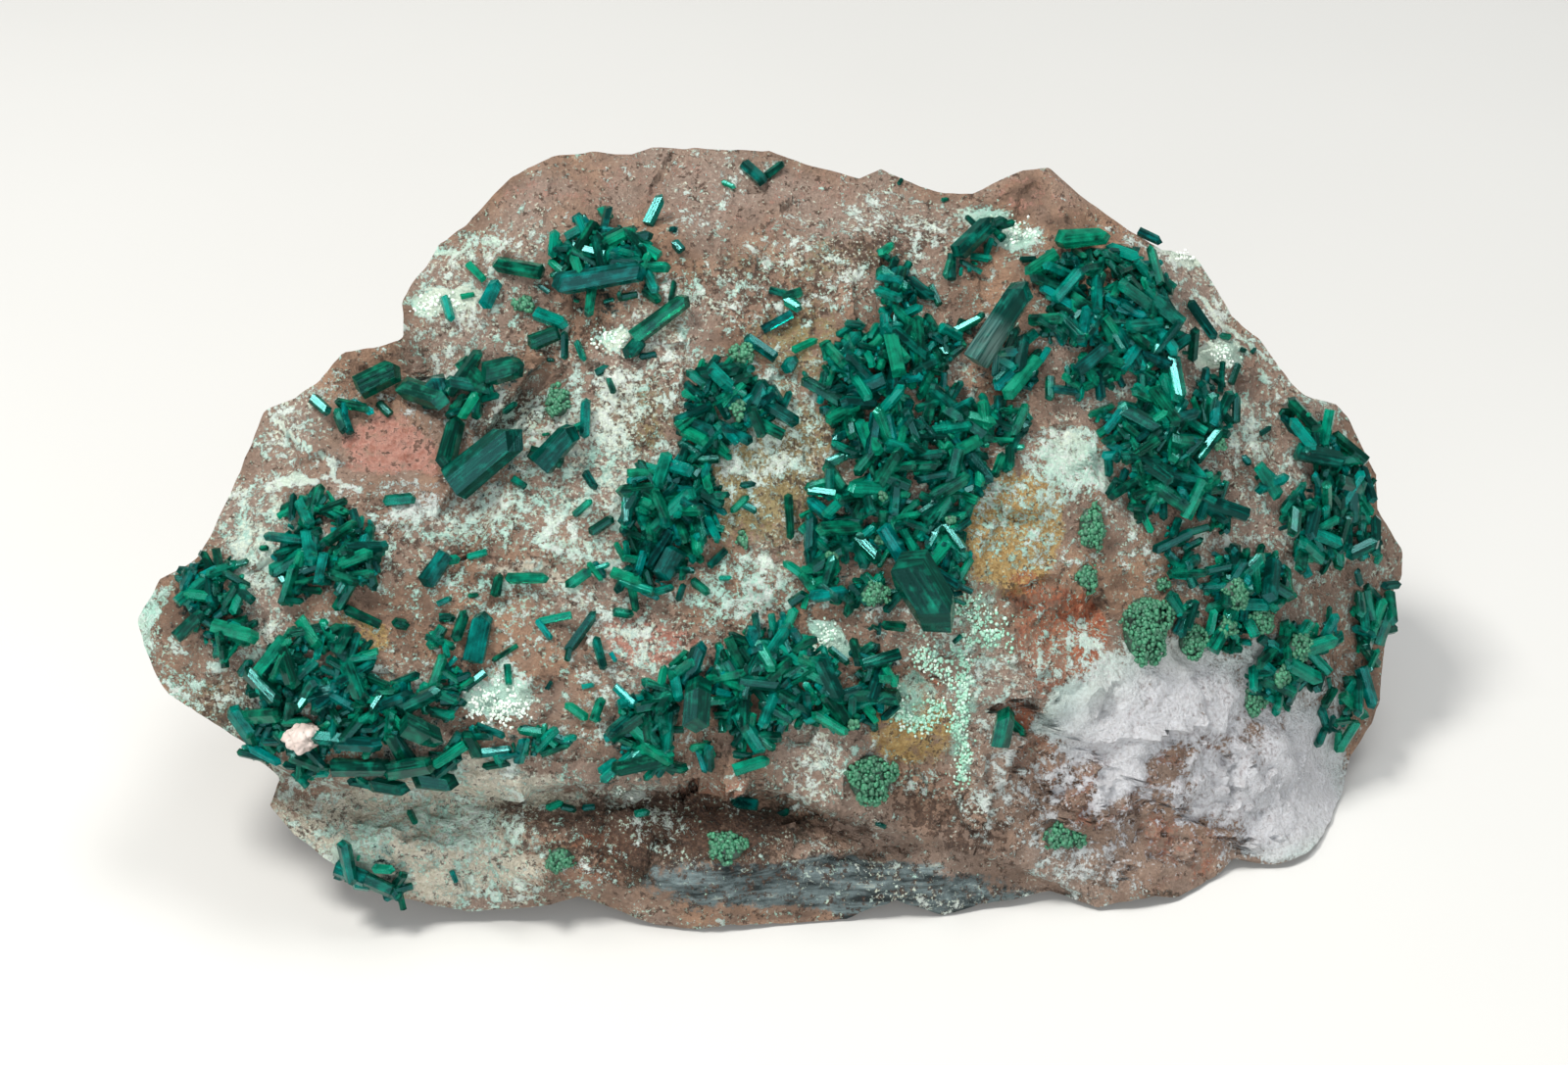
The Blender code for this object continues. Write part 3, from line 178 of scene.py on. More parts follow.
# Stains and crusts on the rock, with painted shade among them (the pit specks and part of the dark coat):
# right, down, half width, half height, tilt in degrees, strength
STAINS = {
    "pale": (
        (450, 310, 28, 14, 0, 1.5), (622, 344, 20, 12, 0, 1.4), (1025, 232, 44, 20, -10, 1.2),
        (1250, 365, 16, 22, 0, 1.5), (1203, 262, 24, 8, -20, 1.3), (506, 722, 34, 18, 0, 1.6),
        (500, 712, 42, 30, 0, 0.7), (1085, 480, 46, 44, -30, 0.72), (990, 215, 30, 10, 20, 0.7),
        (600, 560, 60, 22, 0, 0.55), (1110, 735, 52, 40, 0, 0.95), (1210, 725, 96, 50, 10, 0.9),
        (1290, 800, 80, 60, 20, 0.85), (1345, 740, 26, 60, 0, 0.75), (1310, 852, 44, 28, -20, 1.0),
        (840, 652, 26, 14, -30, 1.3), (820, 675, 20, 12, 0, 0.8), (590, 600, 20, 10, 0, 0.7),
        (560, 556, 30, 12, 0, 0.6), (700, 300, 22, 16, 0, 0.6), (150, 640, 10, 34, 0, 0.8),
        (170, 604, 12, 24, -50, 0.8), (420, 500, 80, 30, 10, 0.5), (640, 430, 60, 50, 0, 0.45),
        (700, 640, 90, 60, 0, 0.35), (960, 650, 60, 30, 0, 0.5), (480, 250, 40, 30, 30, 0.5),
        (770, 260, 120, 40, 0, 0.42), (1270, 440, 30, 60, 30, 0.5), (780, 420, 80, 110, 0, 0.5),
        (560, 480, 160, 100, 0, 0.5), (330, 640, 50, 40, 0, 0.45), (420, 845, 130, 30, 0, 0.55),
        (450, 890, 140, 24, 4, 0.5),
        (670, 650, 60, 40, 0, 0.45), (460, 530, 80, 40, 0, 0.55), (480, 620, 100, 50, 0, 0.5),
        (930, 770, 40, 60, 0, 0.5),
        (1190, 690, 90, 36, 10, 0.85), (1170, 745, 60, 34, 40, 0.95), (1235, 800, 50, 40, 40, 0.85),
        (1290, 700, 60, 50, 0, 0.8),
        (1335, 800, 40, 90, 8, 1.3), (1092, 716, 42, 24, 20, 1.4), (1165, 768, 70, 18, 42, 1.3),
        (1180, 700, 90, 50, 0, 0.9), (1050, 790, 60, 50, 0, 0.42), (1220, 860, 60, 30, 0, 0.4),
        (1100, 870, 60, 30, 0, 0.45),
        (1030, 540, 60, 74, 0, 0.55), (1085, 655, 62, 70, 0, 0.5), (150, 620, 30, 50, 0, 0.7),
        (760, 600, 60, 40, 0, 0.6), (360, 870, 60, 40, 20, 0.7), (470, 840, 90, 34, 0, 0.6),
        (560, 900, 80, 20, 0, 0.5),
        (250, 560, 40, 40, 0, 0.6), (300, 500, 50, 30, 30, 0.5), (700, 520, 40, 40, 0, 0.6),
        (180, 700, 30, 40, 0, 0.5),
    ),
    "ochre": (
        (600, 850, 40, 16, 10, 0.7), (668, 868, 50, 14, 4, 0.6),
        (1030, 550, 58, 72, 0, 1.25), (935, 748, 46, 46, 0, 0.95), (385, 660, 30, 18, 0, 0.9),
        (1245, 450, 30, 20, 0, 0.5), (1405, 575, 14, 14, 0, 0.8), (820, 320, 60, 40, 0, 0.45),
        (700, 400, 60, 50, 0, 0.5), (800, 520, 70, 80, 0, 0.45), (1000, 500, 20, 40, 0, 0.6),
        (350, 640, 20, 12, 0, 0.8), (900, 800, 60, 30, 0, 0.5), (990, 620, 30, 30, 0, 0.6),
    ),
    "rust": (
        (1085, 655, 58, 66, 0, 0.85), (945, 706, 20, 16, 0, 0.8), (1030, 720, 26, 18, 0, 0.95),
        (1150, 240, 60, 16, 30, 0.6), (1300, 400, 36, 70, 60, 0.6), (1240, 830, 90, 40, -20, 0.55),
        (1290, 790, 30, 20, 0, 0.7), (640, 850, 80, 20, 0, 0.8), (1130, 800, 60, 40, 0, 0.7),
        (720, 805, 50, 14, 10, 0.8), (600, 880, 60, 20, 0, 0.7), (1255, 780, 40, 30, 0, 0.8),
        (1060, 610, 40, 30, 0, 0.8), (1110, 700, 30, 26, 0, 0.9), (1105, 640, 30, 40, 0, 1.1),
        (1060, 760, 50, 30, 0, 0.7), (950, 800, 40, 16, 0, 0.6), (1195, 770, 30, 20, 0, 0.7),
        (1030, 690, 26, 30, 0, 0.6), (1210, 850, 60, 30, -20, 0.7),
        (810, 745, 30, 20, 0, 0.5), (1170, 880, 70, 24, 10, 0.5), (980, 800, 50, 40, 0, 0.5),
    ),
    "salmon": (
        (392, 462, 52, 34, -15, 1.0), (676, 650, 54, 30, 0, 1.1), (560, 520, 50, 20, 20, 0.4),
        (300, 500, 40, 30, 20, 0.6), (680, 190, 230, 36, 2, 0.6),
        (1070, 200, 80, 30, -10, 0.6), (840, 215, 120, 30, 0, 0.6), (320, 470, 50, 40, 30, 0.4),
    ),
    "cream": (
        (780, 470, 80, 95, 0, 0.5), (535, 588, 66, 14, 0, 0.95), (410, 836, 140, 42, 0, 1.4),
        (470, 800, 120, 26, 0, 1.3),
        (440, 884, 140, 42, 8, 1.3), (560, 840, 100, 30, 0, 0.6), (300, 835, 40, 40, 0, 0.9),
        (560, 640, 70, 30, 0, 0.5),
    ),
    "mint": (
        (928, 716, 34, 26, 0, 0.9), (980, 745, 12, 60, 0, 0.85), (1000, 640, 24, 44, 0, 0.75),
        (985, 600, 30, 30, 0, 0.6), (1040, 640, 30, 30, 0, 0.5), (1050, 770, 26, 24, 0, 0.6),
        (1000, 790, 24, 20, 0, 0.6),
        (470, 276, 60, 30, 0, 0.5), (1180, 640, 40, 20, 0, 0.4),
        (560, 770, 60, 8, 0, 0.5), (960, 240, 60, 14, 0, 0.4), (1120, 860, 40, 12, 0, 0.4),
    ),
    "slick": ((860, 905, 215, 36, -2, 1.0),),
    "grey": ((232, 738, 48, 30, 35, 0.8), (180, 690, 30, 40, 40, 0.6),),
    # The dark coat is partly painted shade: in the hollow under the ledge and in the fracture beside the
    # large blades. On the lower lip it is the rock's dark iron brown.
    "dark": (
        (700, 822, 130, 20, 6, 1.0), (670, 846, 100, 28, 3, 0.8), (770, 852, 80, 26, 8, 0.8),
        (600, 826, 60, 16, 0, 0.9),
        (690, 880, 80, 18, 4, 0.8), (590, 870, 40, 16, -20, 0.6), (800, 830, 40, 18, 10, 0.9),
        (510, 425, 40, 16, 60, 0.95), (880, 240, 90, 12, 8, 0.4), (520, 430, 26, 50, -60, 1.0),
        (1000, 830, 60, 20, -10, 0.5),
        (760, 850, 60, 20, 0, 0.5), (680, 875, 90, 34, 0, 0.9), (640, 840, 60, 20, 0, 0.6),
        (560, 895, 90, 14, 0, 0.6),
        (1180, 900, 30, 10, 0, 0.8), (1090, 905, 34, 14, 0, 0.8), (820, 840, 50, 12, 20, 0.7),
        (700, 870, 60, 14, 0, 0.5),
    ),
    "bare": (
        (680, 188, 240, 40, 2, 0.5), (1070, 205, 90, 30, -10, 0.6), (790, 245, 130, 34, 0, 0.25),
        (392, 462, 54, 36, -15, 0.9),
        (1200, 290, 120, 30, -40, 0.3), (1200, 880, 60, 20, 0, 0.5),
        (935, 750, 46, 40, 0, 0.5), (700, 880, 120, 40, 0, 0.3), (760, 760, 30, 20, 0, 0.8),
        (680, 820, 120, 16, 0, 0.4),
        (900, 850, 120, 30, 0, 0.5), (860, 905, 220, 36, -2, 0.55), (330, 500, 30, 40, 0, 0.4),
        (1180, 850, 90, 30, 0, 0.3),
    ),
    "gold": (
        (780, 470, 90, 110, 0, 1.1), (640, 430, 66, 60, 0, 0.9), (820, 340, 60, 60, 0, 0.9),
        (690, 330, 30, 46, 0, 0.8),
        (860, 262, 110, 34, 5, 0.75), (740, 272, 80, 30, 0, 0.65), (1010, 500, 40, 60, 0, 0.5),
        (480, 545, 90, 40, 10, 0.6),
        (220, 720, 60, 40, 30, 0.8), (650, 862, 90, 24, 4, 0.75), (330, 640, 60, 30, 0, 0.6),
        (600, 480, 60, 50, 0, 0.6), (650, 570, 80, 30, 0, 0.5),
    ),
    "lilac": ((1200, 780, 190, 120, 10, 1.0), (1300, 800, 90, 90, 0, 1.0), (420, 470, 80, 60, 0, 0.5)),
    # Painted shade: dark brown specks stand for the shade in small pits, strongest in the hollow under the
    # ledge
    "pit_shade": (
        (640, 420, 80, 70, 0, 0.6), (820, 480, 60, 110, 0, 0.5), (720, 630, 120, 26, 0, 0.5),
        (680, 845, 130, 36, 4, 1.1), (960, 830, 90, 30, -10, 0.7), (220, 740, 70, 40, 30, 0.8),
        (780, 290, 120, 50, 0, 0.6), (900, 252, 90, 34, 10, 0.7), (560, 330, 90, 60, 0, 0.5),
        (350, 560, 120, 60, 0, 0.5),
        (620, 825, 170, 20, 0, 0.8), (1100, 800, 100, 60, 0, 0.5), (480, 570, 120, 60, 0, 0.45),
        (760, 860, 160, 40, 0, 0.5),
        (320, 830, 40, 20, 0, 0.5), (1250, 470, 40, 60, 0, 0.4),
    ),
}
STAIN_SOFTNESS = {"pale": 1.1, "gold": 1.4, "cream": 1.0, "lilac": 1.0, "pit_shade": 1.2, "bare": 1.2, "dark": 1.2}
BASE_SPECKLE = 0.36
BACK_SPECKLE = 0.15
# The painted shade of small pits lies over the whole rock at least this strongly
BASE_PIT_SHADE = 0.3

# How soft a stain's edge is, the seed of its ragged outline, and how strongly near-black teal lies under a
# cluster: dark teal druse darkened to painted shade in the gaps between prisms
STAIN_EDGE = 0.6
STAIN_SEED = 30
DRUSE_AND_SHADE_STRENGTH = 0.6

# The rock's textures: size of their features, detail, roughness and stretch
EVEN = (1.0, 1.0, 1.0)
ROCK_TEXTURES = {
    "broad": (13 * MM, 3, 0.5, EVEN), "patchy": (5.2 * MM, 6, 0.62, EVEN),
    "ragged": (1.5 * MM, 6, 0.78, EVEN), "mottled": (1.0 * MM, 5, 0.72, EVEN),
    "fine": (0.42 * MM, 3, 0.6, EVEN),
    "streaks": (1.3 * MM, 6, 0.68, (0.13, 1.0, 1.0)),
}
ROCK_RELIEF = 1.25 * MM

# Settings of nodes: a mix of two colours, and a product and a sum held between 0 and 1
COLOUR_MIX = {"output": 2, "data_type": "RGBA", "clamp_factor": True}
CLAMPED_SUM = {"operation": "MULTIPLY_ADD", "use_clamp": True}

# Tints that stains give the rock, the dark one partly painted shade: name, dark and light colour, and how far
# they cover
ROCK_TINTS = (
    ("salmon", "AE7260", "D6A797", 0.92), ("cream", "C2BBA4", "F2EEDD", 0.95),
    ("ochre", "94703A", "EACB85", 0.9), ("gold", "837242", "CCBF8B", 0.85),
    ("rust", "93462D", "D98C64", 0.92), ("grey", "747A6B", "B6BAA8", 0.85),
    ("mint", "7FBDA8", "C9EBDC", 0.95), ("dark", "1F1912", "4E4029", 0.92),
)
STAIN_WARPS = ((11 * MM, 18.0), (3.5 * MM, 9.0), (1.6 * MM, 4.0))

# Thin white veins on the rock
VEINS = (
    ((277, 427), (323, 451), (347, 490), (366, 507)), ((273, 492), (295, 518)), ((427, 516), (470, 533)),
    ((386, 551), (427, 570)), ((440, 262), (470, 256), (500, 246)), ((270, 480), (300, 486), (330, 480)),
    ((1230, 300), (1262, 340), (1300, 380)), ((1262, 352), (1290, 400)),
)
VEIN_WIDTH = 2.6

# Bare windows inside the clusters: their size in sight units and the level of noise below which they open
WINDOW_SIZE = 24.0
WINDOW_LEVEL = -0.24
WINDOW_SEED = 41

# Prisms that fill a cluster: spacing, length and width in sight units, and lean off the face in degrees.
# The first four spacings are shares of the small prisms' spacing. Strays stand just outside.
Filling = namedtuple("Filling", "spacing length width lean")
FILLINGS = (
    Filling(1.0, (20, 35), (7.5, 11), (-10, 32)), Filling(1.5, (27, 47), (9, 13.5), (-5, 38)),
    Filling(0.9, (8, 18), (4, 6.5), (0, 80)), Filling(3, (40, 58), (13, 19), (0, 24)),
)
STRAYS = Filling(30.0, (14, 32), (6, 11), (-5, 25))
STRAY_REACH = 1.16
SMALL_SHARE = 1.4
WIDTH_SPREAD = 0.3

# How far prisms stand off the rock, as a share of their width, and the least gap to the floor
CLUSTER_STANDOFF = 0.55
CLUSTER_SEED = 100
LONE_STANDOFF = 0.28
LONE_SEED = 77
FLOOR_GAP = 0.1 * MM

# Large prisms lie with an edge towards the viewer, give or take this share of a random turn
LARGE_WIDTH = 20
LARGE_TURN_SHARE = 0.12
LARGE_MARGIN = 2

# A prism's form: how far its corners stray round it, its sides' distances, its flatness, its taper, how
# far the tip's faces fall, and how many tips are nearly flat
CORNER_SHAKE = 0.16
SIDE_RANGE = (0.9, 1.08)
FLATNESS_RANGE = (0.7, 1.0)
TAPER_RANGE = (0.86, 1.0)
TIP_FALL_RANGE = (0.4, 0.66)
BLUNT_SHARE = 0.2
BLUNT_FALL = 0.2

# Prisms darken with their width from the first to the second
PALE_WIDTH, DARK_WIDTH = 1.6 * MM, 3.6 * MM

# The dioptase's clouds and the lines along its sides, shifted from prism to prism by up to so many mm
CLOUD_SIZE = 1.4 * MM
LINES_PER_MM = 3.2
LINE_STRETCH = 0.06
LINE_RELIEF = 0.08 * MM
LINE_SHIFT = 50

# Crystals: right, down, length, width in sight units, tilt in the sight and lean off the face in degrees
Cluster = namedtuple("Cluster", "name outline crystals seed")
CLUSTERS = (
    Cluster(
        "dioptase_upper_left",
        ((556, 248), (592, 232), (664, 238), (668, 262), (664, 296), (625, 312), (565, 308), (552, 272)),
        ((612, 290, 98, 26, 8, 6), (625, 252, 52, 14, 25, 16), (668, 222, 36, 15, 66, 20),
         (566, 253, 30, 12, 85, 16),
         (651, 248, 33, 13, 13, 12), (600, 262, 40, 13, -20, 14), (640, 272, 42, 14, -8, 10),
         (590, 240, 30, 11, 30, 14)),
        21,
    ),
    Cluster(
        "dioptase_middle",
        ((714, 376), (735, 366), (757, 374), (790, 400), (798, 425), (772, 436), (745, 446), (735, 462),
         (714, 470), (704, 446), (690, 436), (706, 405)),
        ((735, 390, 40, 17, -50, 24), (765, 412, 42, 14, 30, 20), (722, 440, 36, 13, 70, 26),
         (782, 438, 42, 13, -30, 12),
         (752, 392, 36, 13, 10, 20)),
        22,
    ),
    Cluster(
        "dioptase_centre_left",
        ((655, 480), (690, 470), (716, 464), (735, 490), (738, 540), (716, 560), (704, 570), (692, 604),
         (660, 608), (612, 576), (640, 556), (636, 520)),
        ((684, 578, 40, 24, 60, 18), (694, 516, 46, 16, 40, 26), (664, 506, 42, 14, -30, 20),
         (722, 508, 40, 11, 2, 14),
         (640, 590, 36, 12, -20, 16)),
        23,
    ),
    Cluster(
        "dioptase_left",
        ((290, 520), (313, 508), (336, 516), (366, 532), (385, 556), (384, 590), (350, 610), (320, 600),
         (300, 618), (288, 596), (284, 560)),
        ((315, 528, 40, 14, -60, 24), (350, 548, 44, 14, 30, 20), (299, 600, 46, 14, 70, 18),
         (352, 592, 42, 13, -20, 20)),
        24,
    ),
    Cluster(
        "dioptase_left_tip",
        ((188, 592), (206, 575), (240, 572), (272, 612), (268, 642), (245, 656), (232, 672), (214, 652),
         (195, 636)),
        ((212, 592, 38, 12, 20, 20), (250, 608, 40, 12, -40, 20), (232, 648, 40, 13, 60, 18)),
        25,
    ),
    Cluster(
        "dioptase_lower_left",
        ((255, 682), (275, 670), (292, 648), (330, 642), (376, 656), (372, 682), (395, 696), (420, 690),
         (432, 660), (448, 650), (480, 700), (464, 720), (460, 742), (468, 764), (455, 788), (380, 794),
         (330, 792), (300, 782), (262, 770), (250, 742), (262, 720)),
        ((418, 774, 58, 26, 18, 12), (446, 787, 50, 24, -10, 2), (398, 789, 46, 20, 2, 14),
         (434, 742, 52, 32, -22, 14), (372, 776, 66, 22, 4, 8), (318, 706, 42, 14, 50, 24),
         (290, 680, 42, 14, 60, 22), (448, 690, 46, 14, 70, 20), (400, 716, 48, 15, 20, 20)),
        26,
    ),
    Cluster(
        "dioptase_ledge",
        ((476, 747), (502, 740), (572, 744), (570, 762), (545, 772), (500, 776), (480, 766)),
        ((556, 752, 38, 12, 50, 18), (505, 764, 36, 11, 10, 10), (500, 744, 34, 10, -20, 14)),
        27,
    ),
    Cluster(
        "dioptase_lower_middle",
        ((598, 728), (640, 708), (690, 688), (702, 672), (735, 666), (770, 640), (800, 628), (812, 650),
         (850, 662), (880, 664), (905, 676), (916, 690), (895, 702), (892, 734), (870, 741), (845, 745),
         (820, 730), (800, 735), (785, 750), (768, 772), (700, 775), (688, 790), (650, 785), (625, 790),
         (610, 770)),
        ((713, 716, 62, 34, 86, 10), (640, 738, 48, 15, 40, 22), (668, 762, 46, 15, -30, 18),
         (767, 778, 40, 15, 20, 8),
         (780, 668, 44, 14, -60, 24), (862, 706, 46, 15, 20, 20), (742, 690, 44, 15, 10, 24)),
        28,
    ),
    Cluster(
        "dioptase_centre",
        ((850, 366), (892, 340), (905, 312), (898, 286), (916, 274), (940, 290), (932, 322), (962, 346),
         (1008, 322), (1036, 345), (1056, 372), (1052, 395), (1034, 415), (1044, 440), (1030, 470),
         (1002, 492), (982, 540), (984, 582), (968, 640), (952, 656), (922, 640), (905, 622), (894, 648),
         (870, 620), (812, 594), (808, 574), (832, 558), (828, 500), (868, 470), (848, 450), (850, 425),
         (832, 400)),
        ((938, 605, 96, 50, -60, 10), (1014, 338, 98, 34, 57, 17), (912, 300, 46, 14, 70, 18),
         (850, 488, 36, 15, -58, 16),
         (826, 546, 44, 17, 88, 14), (965, 500, 50, 17, 30, 24), (880, 560, 48, 16, -50, 26),
         (905, 480, 50, 16, 60, 26),
         (990, 430, 48, 16, -20, 24), (880, 400, 48, 15, 20, 24), (836, 521, 38, 14, -43, 14),
         (964, 592, 34, 13, -32, 16)),
        29,
    ),
    Cluster(
        "dioptase_upper_right",
        ((1050, 284), (1072, 260), (1130, 248), (1160, 258), (1188, 298), (1186, 322), (1207, 350),
         (1206, 376),
         (1256, 408), (1254, 430), (1228, 462), (1246, 500), (1240, 540), (1216, 558), (1180, 555),
         (1152, 520),
         (1126, 470), (1130, 440), (1102, 405), (1074, 398), (1068, 345), (1054, 316)),
        ((1098, 254, 60, 20, 12, 12), (1140, 268, 42, 14, -50, 22), (1085, 300, 46, 14, 50, 26),
         (1110, 370, 48, 16, 40, 26),
         (1180, 350, 44, 14, -70, 22), (1195, 430, 46, 15, 20, 24), (1170, 480, 46, 14, -40, 24),
         (1210, 510, 44, 15, 70, 22),
         (1240, 420, 42, 14, 60, 16)),
        30,
    ),
    Cluster(
        "dioptase_lower_right",
        ((1182, 572), (1216, 574), (1245, 562), (1290, 562), (1320, 618), (1345, 618), (1360, 640),
         (1346, 690),
         (1320, 706), (1296, 722), (1270, 700), (1262, 676), (1240, 642), (1215, 628), (1198, 636)),
        ((1250, 590, 44, 14, 60, 22), (1342, 646, 48, 14, 60, 16), (1290, 600, 46, 14, -30, 24),
         (1316, 690, 40, 13, 30, 16)),
        31,
    ),
    Cluster(
        "dioptase_right",
        ((1312, 422), (1336, 430), (1352, 428), (1360, 456), (1386, 472), (1392, 496), (1390, 525),
         (1376, 536),
         (1400, 548), (1402, 570), (1384, 584), (1345, 570), (1312, 574), (1320, 548), (1300, 536),
         (1308, 510),
         (1290, 514), (1276, 500), (1282, 480), (1304, 478)),
        ((1320, 446, 42, 14, -60, 18), (1346, 440, 40, 12, 80, 16), (1368, 500, 46, 14, 60, 20),
         (1290, 494, 42, 13, 20, 14),
         (1340, 548, 44, 14, -20, 22)),
        32,
    ),
    Cluster(
        "dioptase_right_edge",
        ((1386, 592), (1404, 602), (1411, 634), (1408, 682), (1405, 714), (1396, 744), (1378, 772),
         (1360, 764),
         (1346, 740), (1370, 728), (1365, 700), (1371, 680), (1385, 650), (1375, 625)),
        ((1394, 630, 46, 14, 80, 14), (1384, 700, 46, 14, -70, 16), (1366, 750, 40, 13, 50, 12)),
        33,
    ),
    Cluster(
        "dioptase_crest_right",
        ((968, 276), (988, 230), (1020, 226), (1026, 246), (1002, 264), (988, 288)),
        ((993, 252, 60, 20, 50, 10), (1012, 238, 34, 13, 20, 14), (967, 279, 24, 10, 75, 14)),
        34,
    ),
    Cluster(
        "dioptase_left_rim",
        ((324, 412), (352, 404), (370, 386), (396, 379), (400, 396), (380, 412), (362, 424), (350, 440),
         (332, 424)),
        ((386, 394, 50, 26, 31, 8), (360, 417, 39, 10, -16, 8), (329, 417, 31, 13, -45, 8),
         (349, 435, 28, 11, -70, 10),
         (393, 420, 21, 9, -52, 8)),
        35,
    ),
    Cluster(
        "dioptase_fracture_block",
        ((414, 405), (432, 397), (458, 392), (480, 375), (512, 371), (543, 379), (538, 394), (506, 402),
         (490, 420),
         (452, 430), (424, 422)),
        ((432, 415, 67, 26, -36, 8), (457, 403, 40, 28, 20, 14), (488, 386, 52, 18, -45, 14),
         (519, 382, 50, 28, 10, 10),
         (517, 413, 20, 9, 45, 10), (490, 417, 30, 13, 90, 12)),
        36,
    ),
    Cluster(
        "dioptase_fracture_blades",
        ((476, 502), (494, 474), (522, 450), (550, 452), (564, 436), (594, 440), (590, 468), (566, 482),
         (540, 488),
         (516, 500), (488, 508)),
        ((511, 480, 95, 42, 30, 6), (573, 460, 56, 30, 45, 14), (560, 470, 44, 16, -20, 12),
         (599, 429, 42, 13, 88, 10),
         (532, 495, 22, 10, -35, 8)),
        37,
    ),
    Cluster(
        "dioptase_underside_left",
        ((338, 876), (366, 870), (402, 880), (420, 896), (410, 914), (384, 904), (354, 892)),
        ((362, 884, 36, 18, -15, 10), (386, 894, 42, 20, -22, 8), (402, 904, 26, 14, -60, 12),
         (352, 888, 24, 13, 40, 10), (394, 882, 28, 13, 10, 16), (372, 898, 26, 12, 5, 12),
         (408, 894, 24, 12, 60, 12)),
        38,
    ),
)

# Crystals that stand alone on the rock
LONE_CRYSTALS = (
    (769, 182, 36, 13, -59, 14), (789, 177, 28, 10, 44, 12), (743, 190, 18, 7, -35, 8),
    (617, 220, 20, 12, -60, 12),
    (691, 253, 17, 10, -57, 12), (687, 236, 10, 8, 20, 12), (589, 225, 13, 10, 40, 10),
    (530, 276, 57, 18, -15, 8),
    (488, 280, 30, 10, -45, 10), (503, 302, 34, 18, 60, 12), (478, 302, 17, 7, 5, 8),
    (460, 316, 29, 13, -65, 10),
    (564, 327, 40, 15, -22, 8), (556, 347, 36, 18, 18, 10), (577, 353, 30, 10, 88, 10),
    (593, 359, 26, 9, -67, 10),
    (674, 327, 72, 20, 37, 8), (647, 357, 28, 16, 50, 10), (686, 299, 25, 7, 80, 8),
    (661, 364, 19, 7, 8, 8),
    (665, 303, 25, 11, -38, 10), (642, 303, 18, 8, 10, 8), (616, 378, 18, 9, 25, 8),
    (624, 394, 20, 8, -70, 8),
    (562, 367, 9, 5, 0, 8), (603, 491, 25, 11, -58, 10), (595, 519, 26, 8, 42, 8),
    (614, 537, 31, 12, 33, 10),
    (755, 515, 26, 8, 45, 8), (763, 518, 22, 8, -30, 8), (763, 495, 18, 7, 10, 8),
    (590, 591, 32, 11, 35, 10),
    (612, 580, 24, 8, 20, 10), (612, 582, 22, 8, -50, 10), (732, 570, 27, 9, 43, 10),
    (715, 599, 25, 10, -37, 8),
    (636, 626, 24, 11, -10, 8), (566, 632, 36, 9, 12, 8), (555, 643, 27, 9, -54, 8),
    (593, 646, 53, 15, 55, 8),
    (612, 667, 37, 10, -75, 8), (626, 671, 12, 6, -60, 8), (538, 591, 46, 11, 0, 6),
    (508, 598, 26, 12, 80, 10),
    (445, 583, 42, 20, 55, 10), (456, 574, 30, 12, 10, 12), (487, 567, 22, 7, 15, 8),
    (454, 614, 17, 8, 25, 8),
    (483, 608, 12, 6, 10, 8), (457, 631, 18, 10, 0, 8), (470, 640, 35, 13, 70, 10),
    (489, 652, 55, 25, 78, 8),
    (446, 652, 28, 14, 60, 10), (515, 667, 31, 6, 32, 6), (518, 689, 22, 9, -85, 8),
    (370, 630, 44, 11, -25, 8),
    (409, 637, 20, 12, -10, 8), (793, 331, 36, 11, 28, 14), (808, 313, 25, 12, -40, 14),
    (775, 357, 42, 14, -40, 12),
    (821, 354, 30, 10, 25, 10), (806, 374, 22, 16, 60, 12), (808, 303, 22, 12, 20, 12),
    (795, 300, 22, 9, -20, 10),
    (792, 404, 26, 10, -60, 10), (805, 528, 50, 12, -87, 8), (853, 470, 27, 12, 25, 10),
    (814, 611, 22, 10, 35, 8),
    (953, 303, 28, 9, -75, 10), (877, 330, 12, 5, -45, 8), (964, 205, 9, 5, 20, 8), (918, 187, 9, 5, 60, 8),
    (1172, 245, 28, 10, -38, 10), (1223, 330, 46, 12, -60, 10), (1216, 318, 24, 10, -70, 12),
    (1247, 344, 14, 8, 0, 8),
    (1243, 386, 34, 9, 80, 10), (1257, 383, 24, 9, 60, 10), (1267, 358, 9, 6, 0, 8),
    (1278, 358, 9, 6, 40, 8),
    (461, 456, 58, 23, 78, 8), (408, 512, 35, 13, 5, 6), (1022, 740, 44, 26, 80, 6),
    (1034, 742, 30, 16, -40, 8),
    (420, 835, 20, 7, -80, 8), (463, 893, 14, 6, -70, 8), (566, 824, 20, 8, 30, 8),
    (580, 827, 18, 8, -20, 8),
    (600, 826, 14, 7, 10, 8), (655, 832, 18, 9, 10, 8), (760, 814, 30, 14, 10, 8), (797, 828, 19, 8, 40, 8),
    (1415, 597, 26, 11, 0, 8), (1404, 570, 14, 8, 40, 8), (1352, 712, 26, 10, 50, 8),
    (1347, 730, 24, 10, -60, 8),
    (1344, 752, 24, 10, 60, 8), (380, 571, 24, 9, 30, 8), (270, 560, 12, 6, 0, 8), (560, 752, 20, 8, 60, 8),
    (580, 668, 16, 7, 80, 8), (600, 700, 14, 6, 10, 8), (560, 700, 12, 6, 60, 8), (740, 590, 14, 6, 0, 8),
    (900, 840, 12, 6, 20, 8), (842, 352, 14, 8, 30, 8), (1290, 440, 16, 7, 30, 8),
    (1270, 470, 14, 7, -40, 8),
)

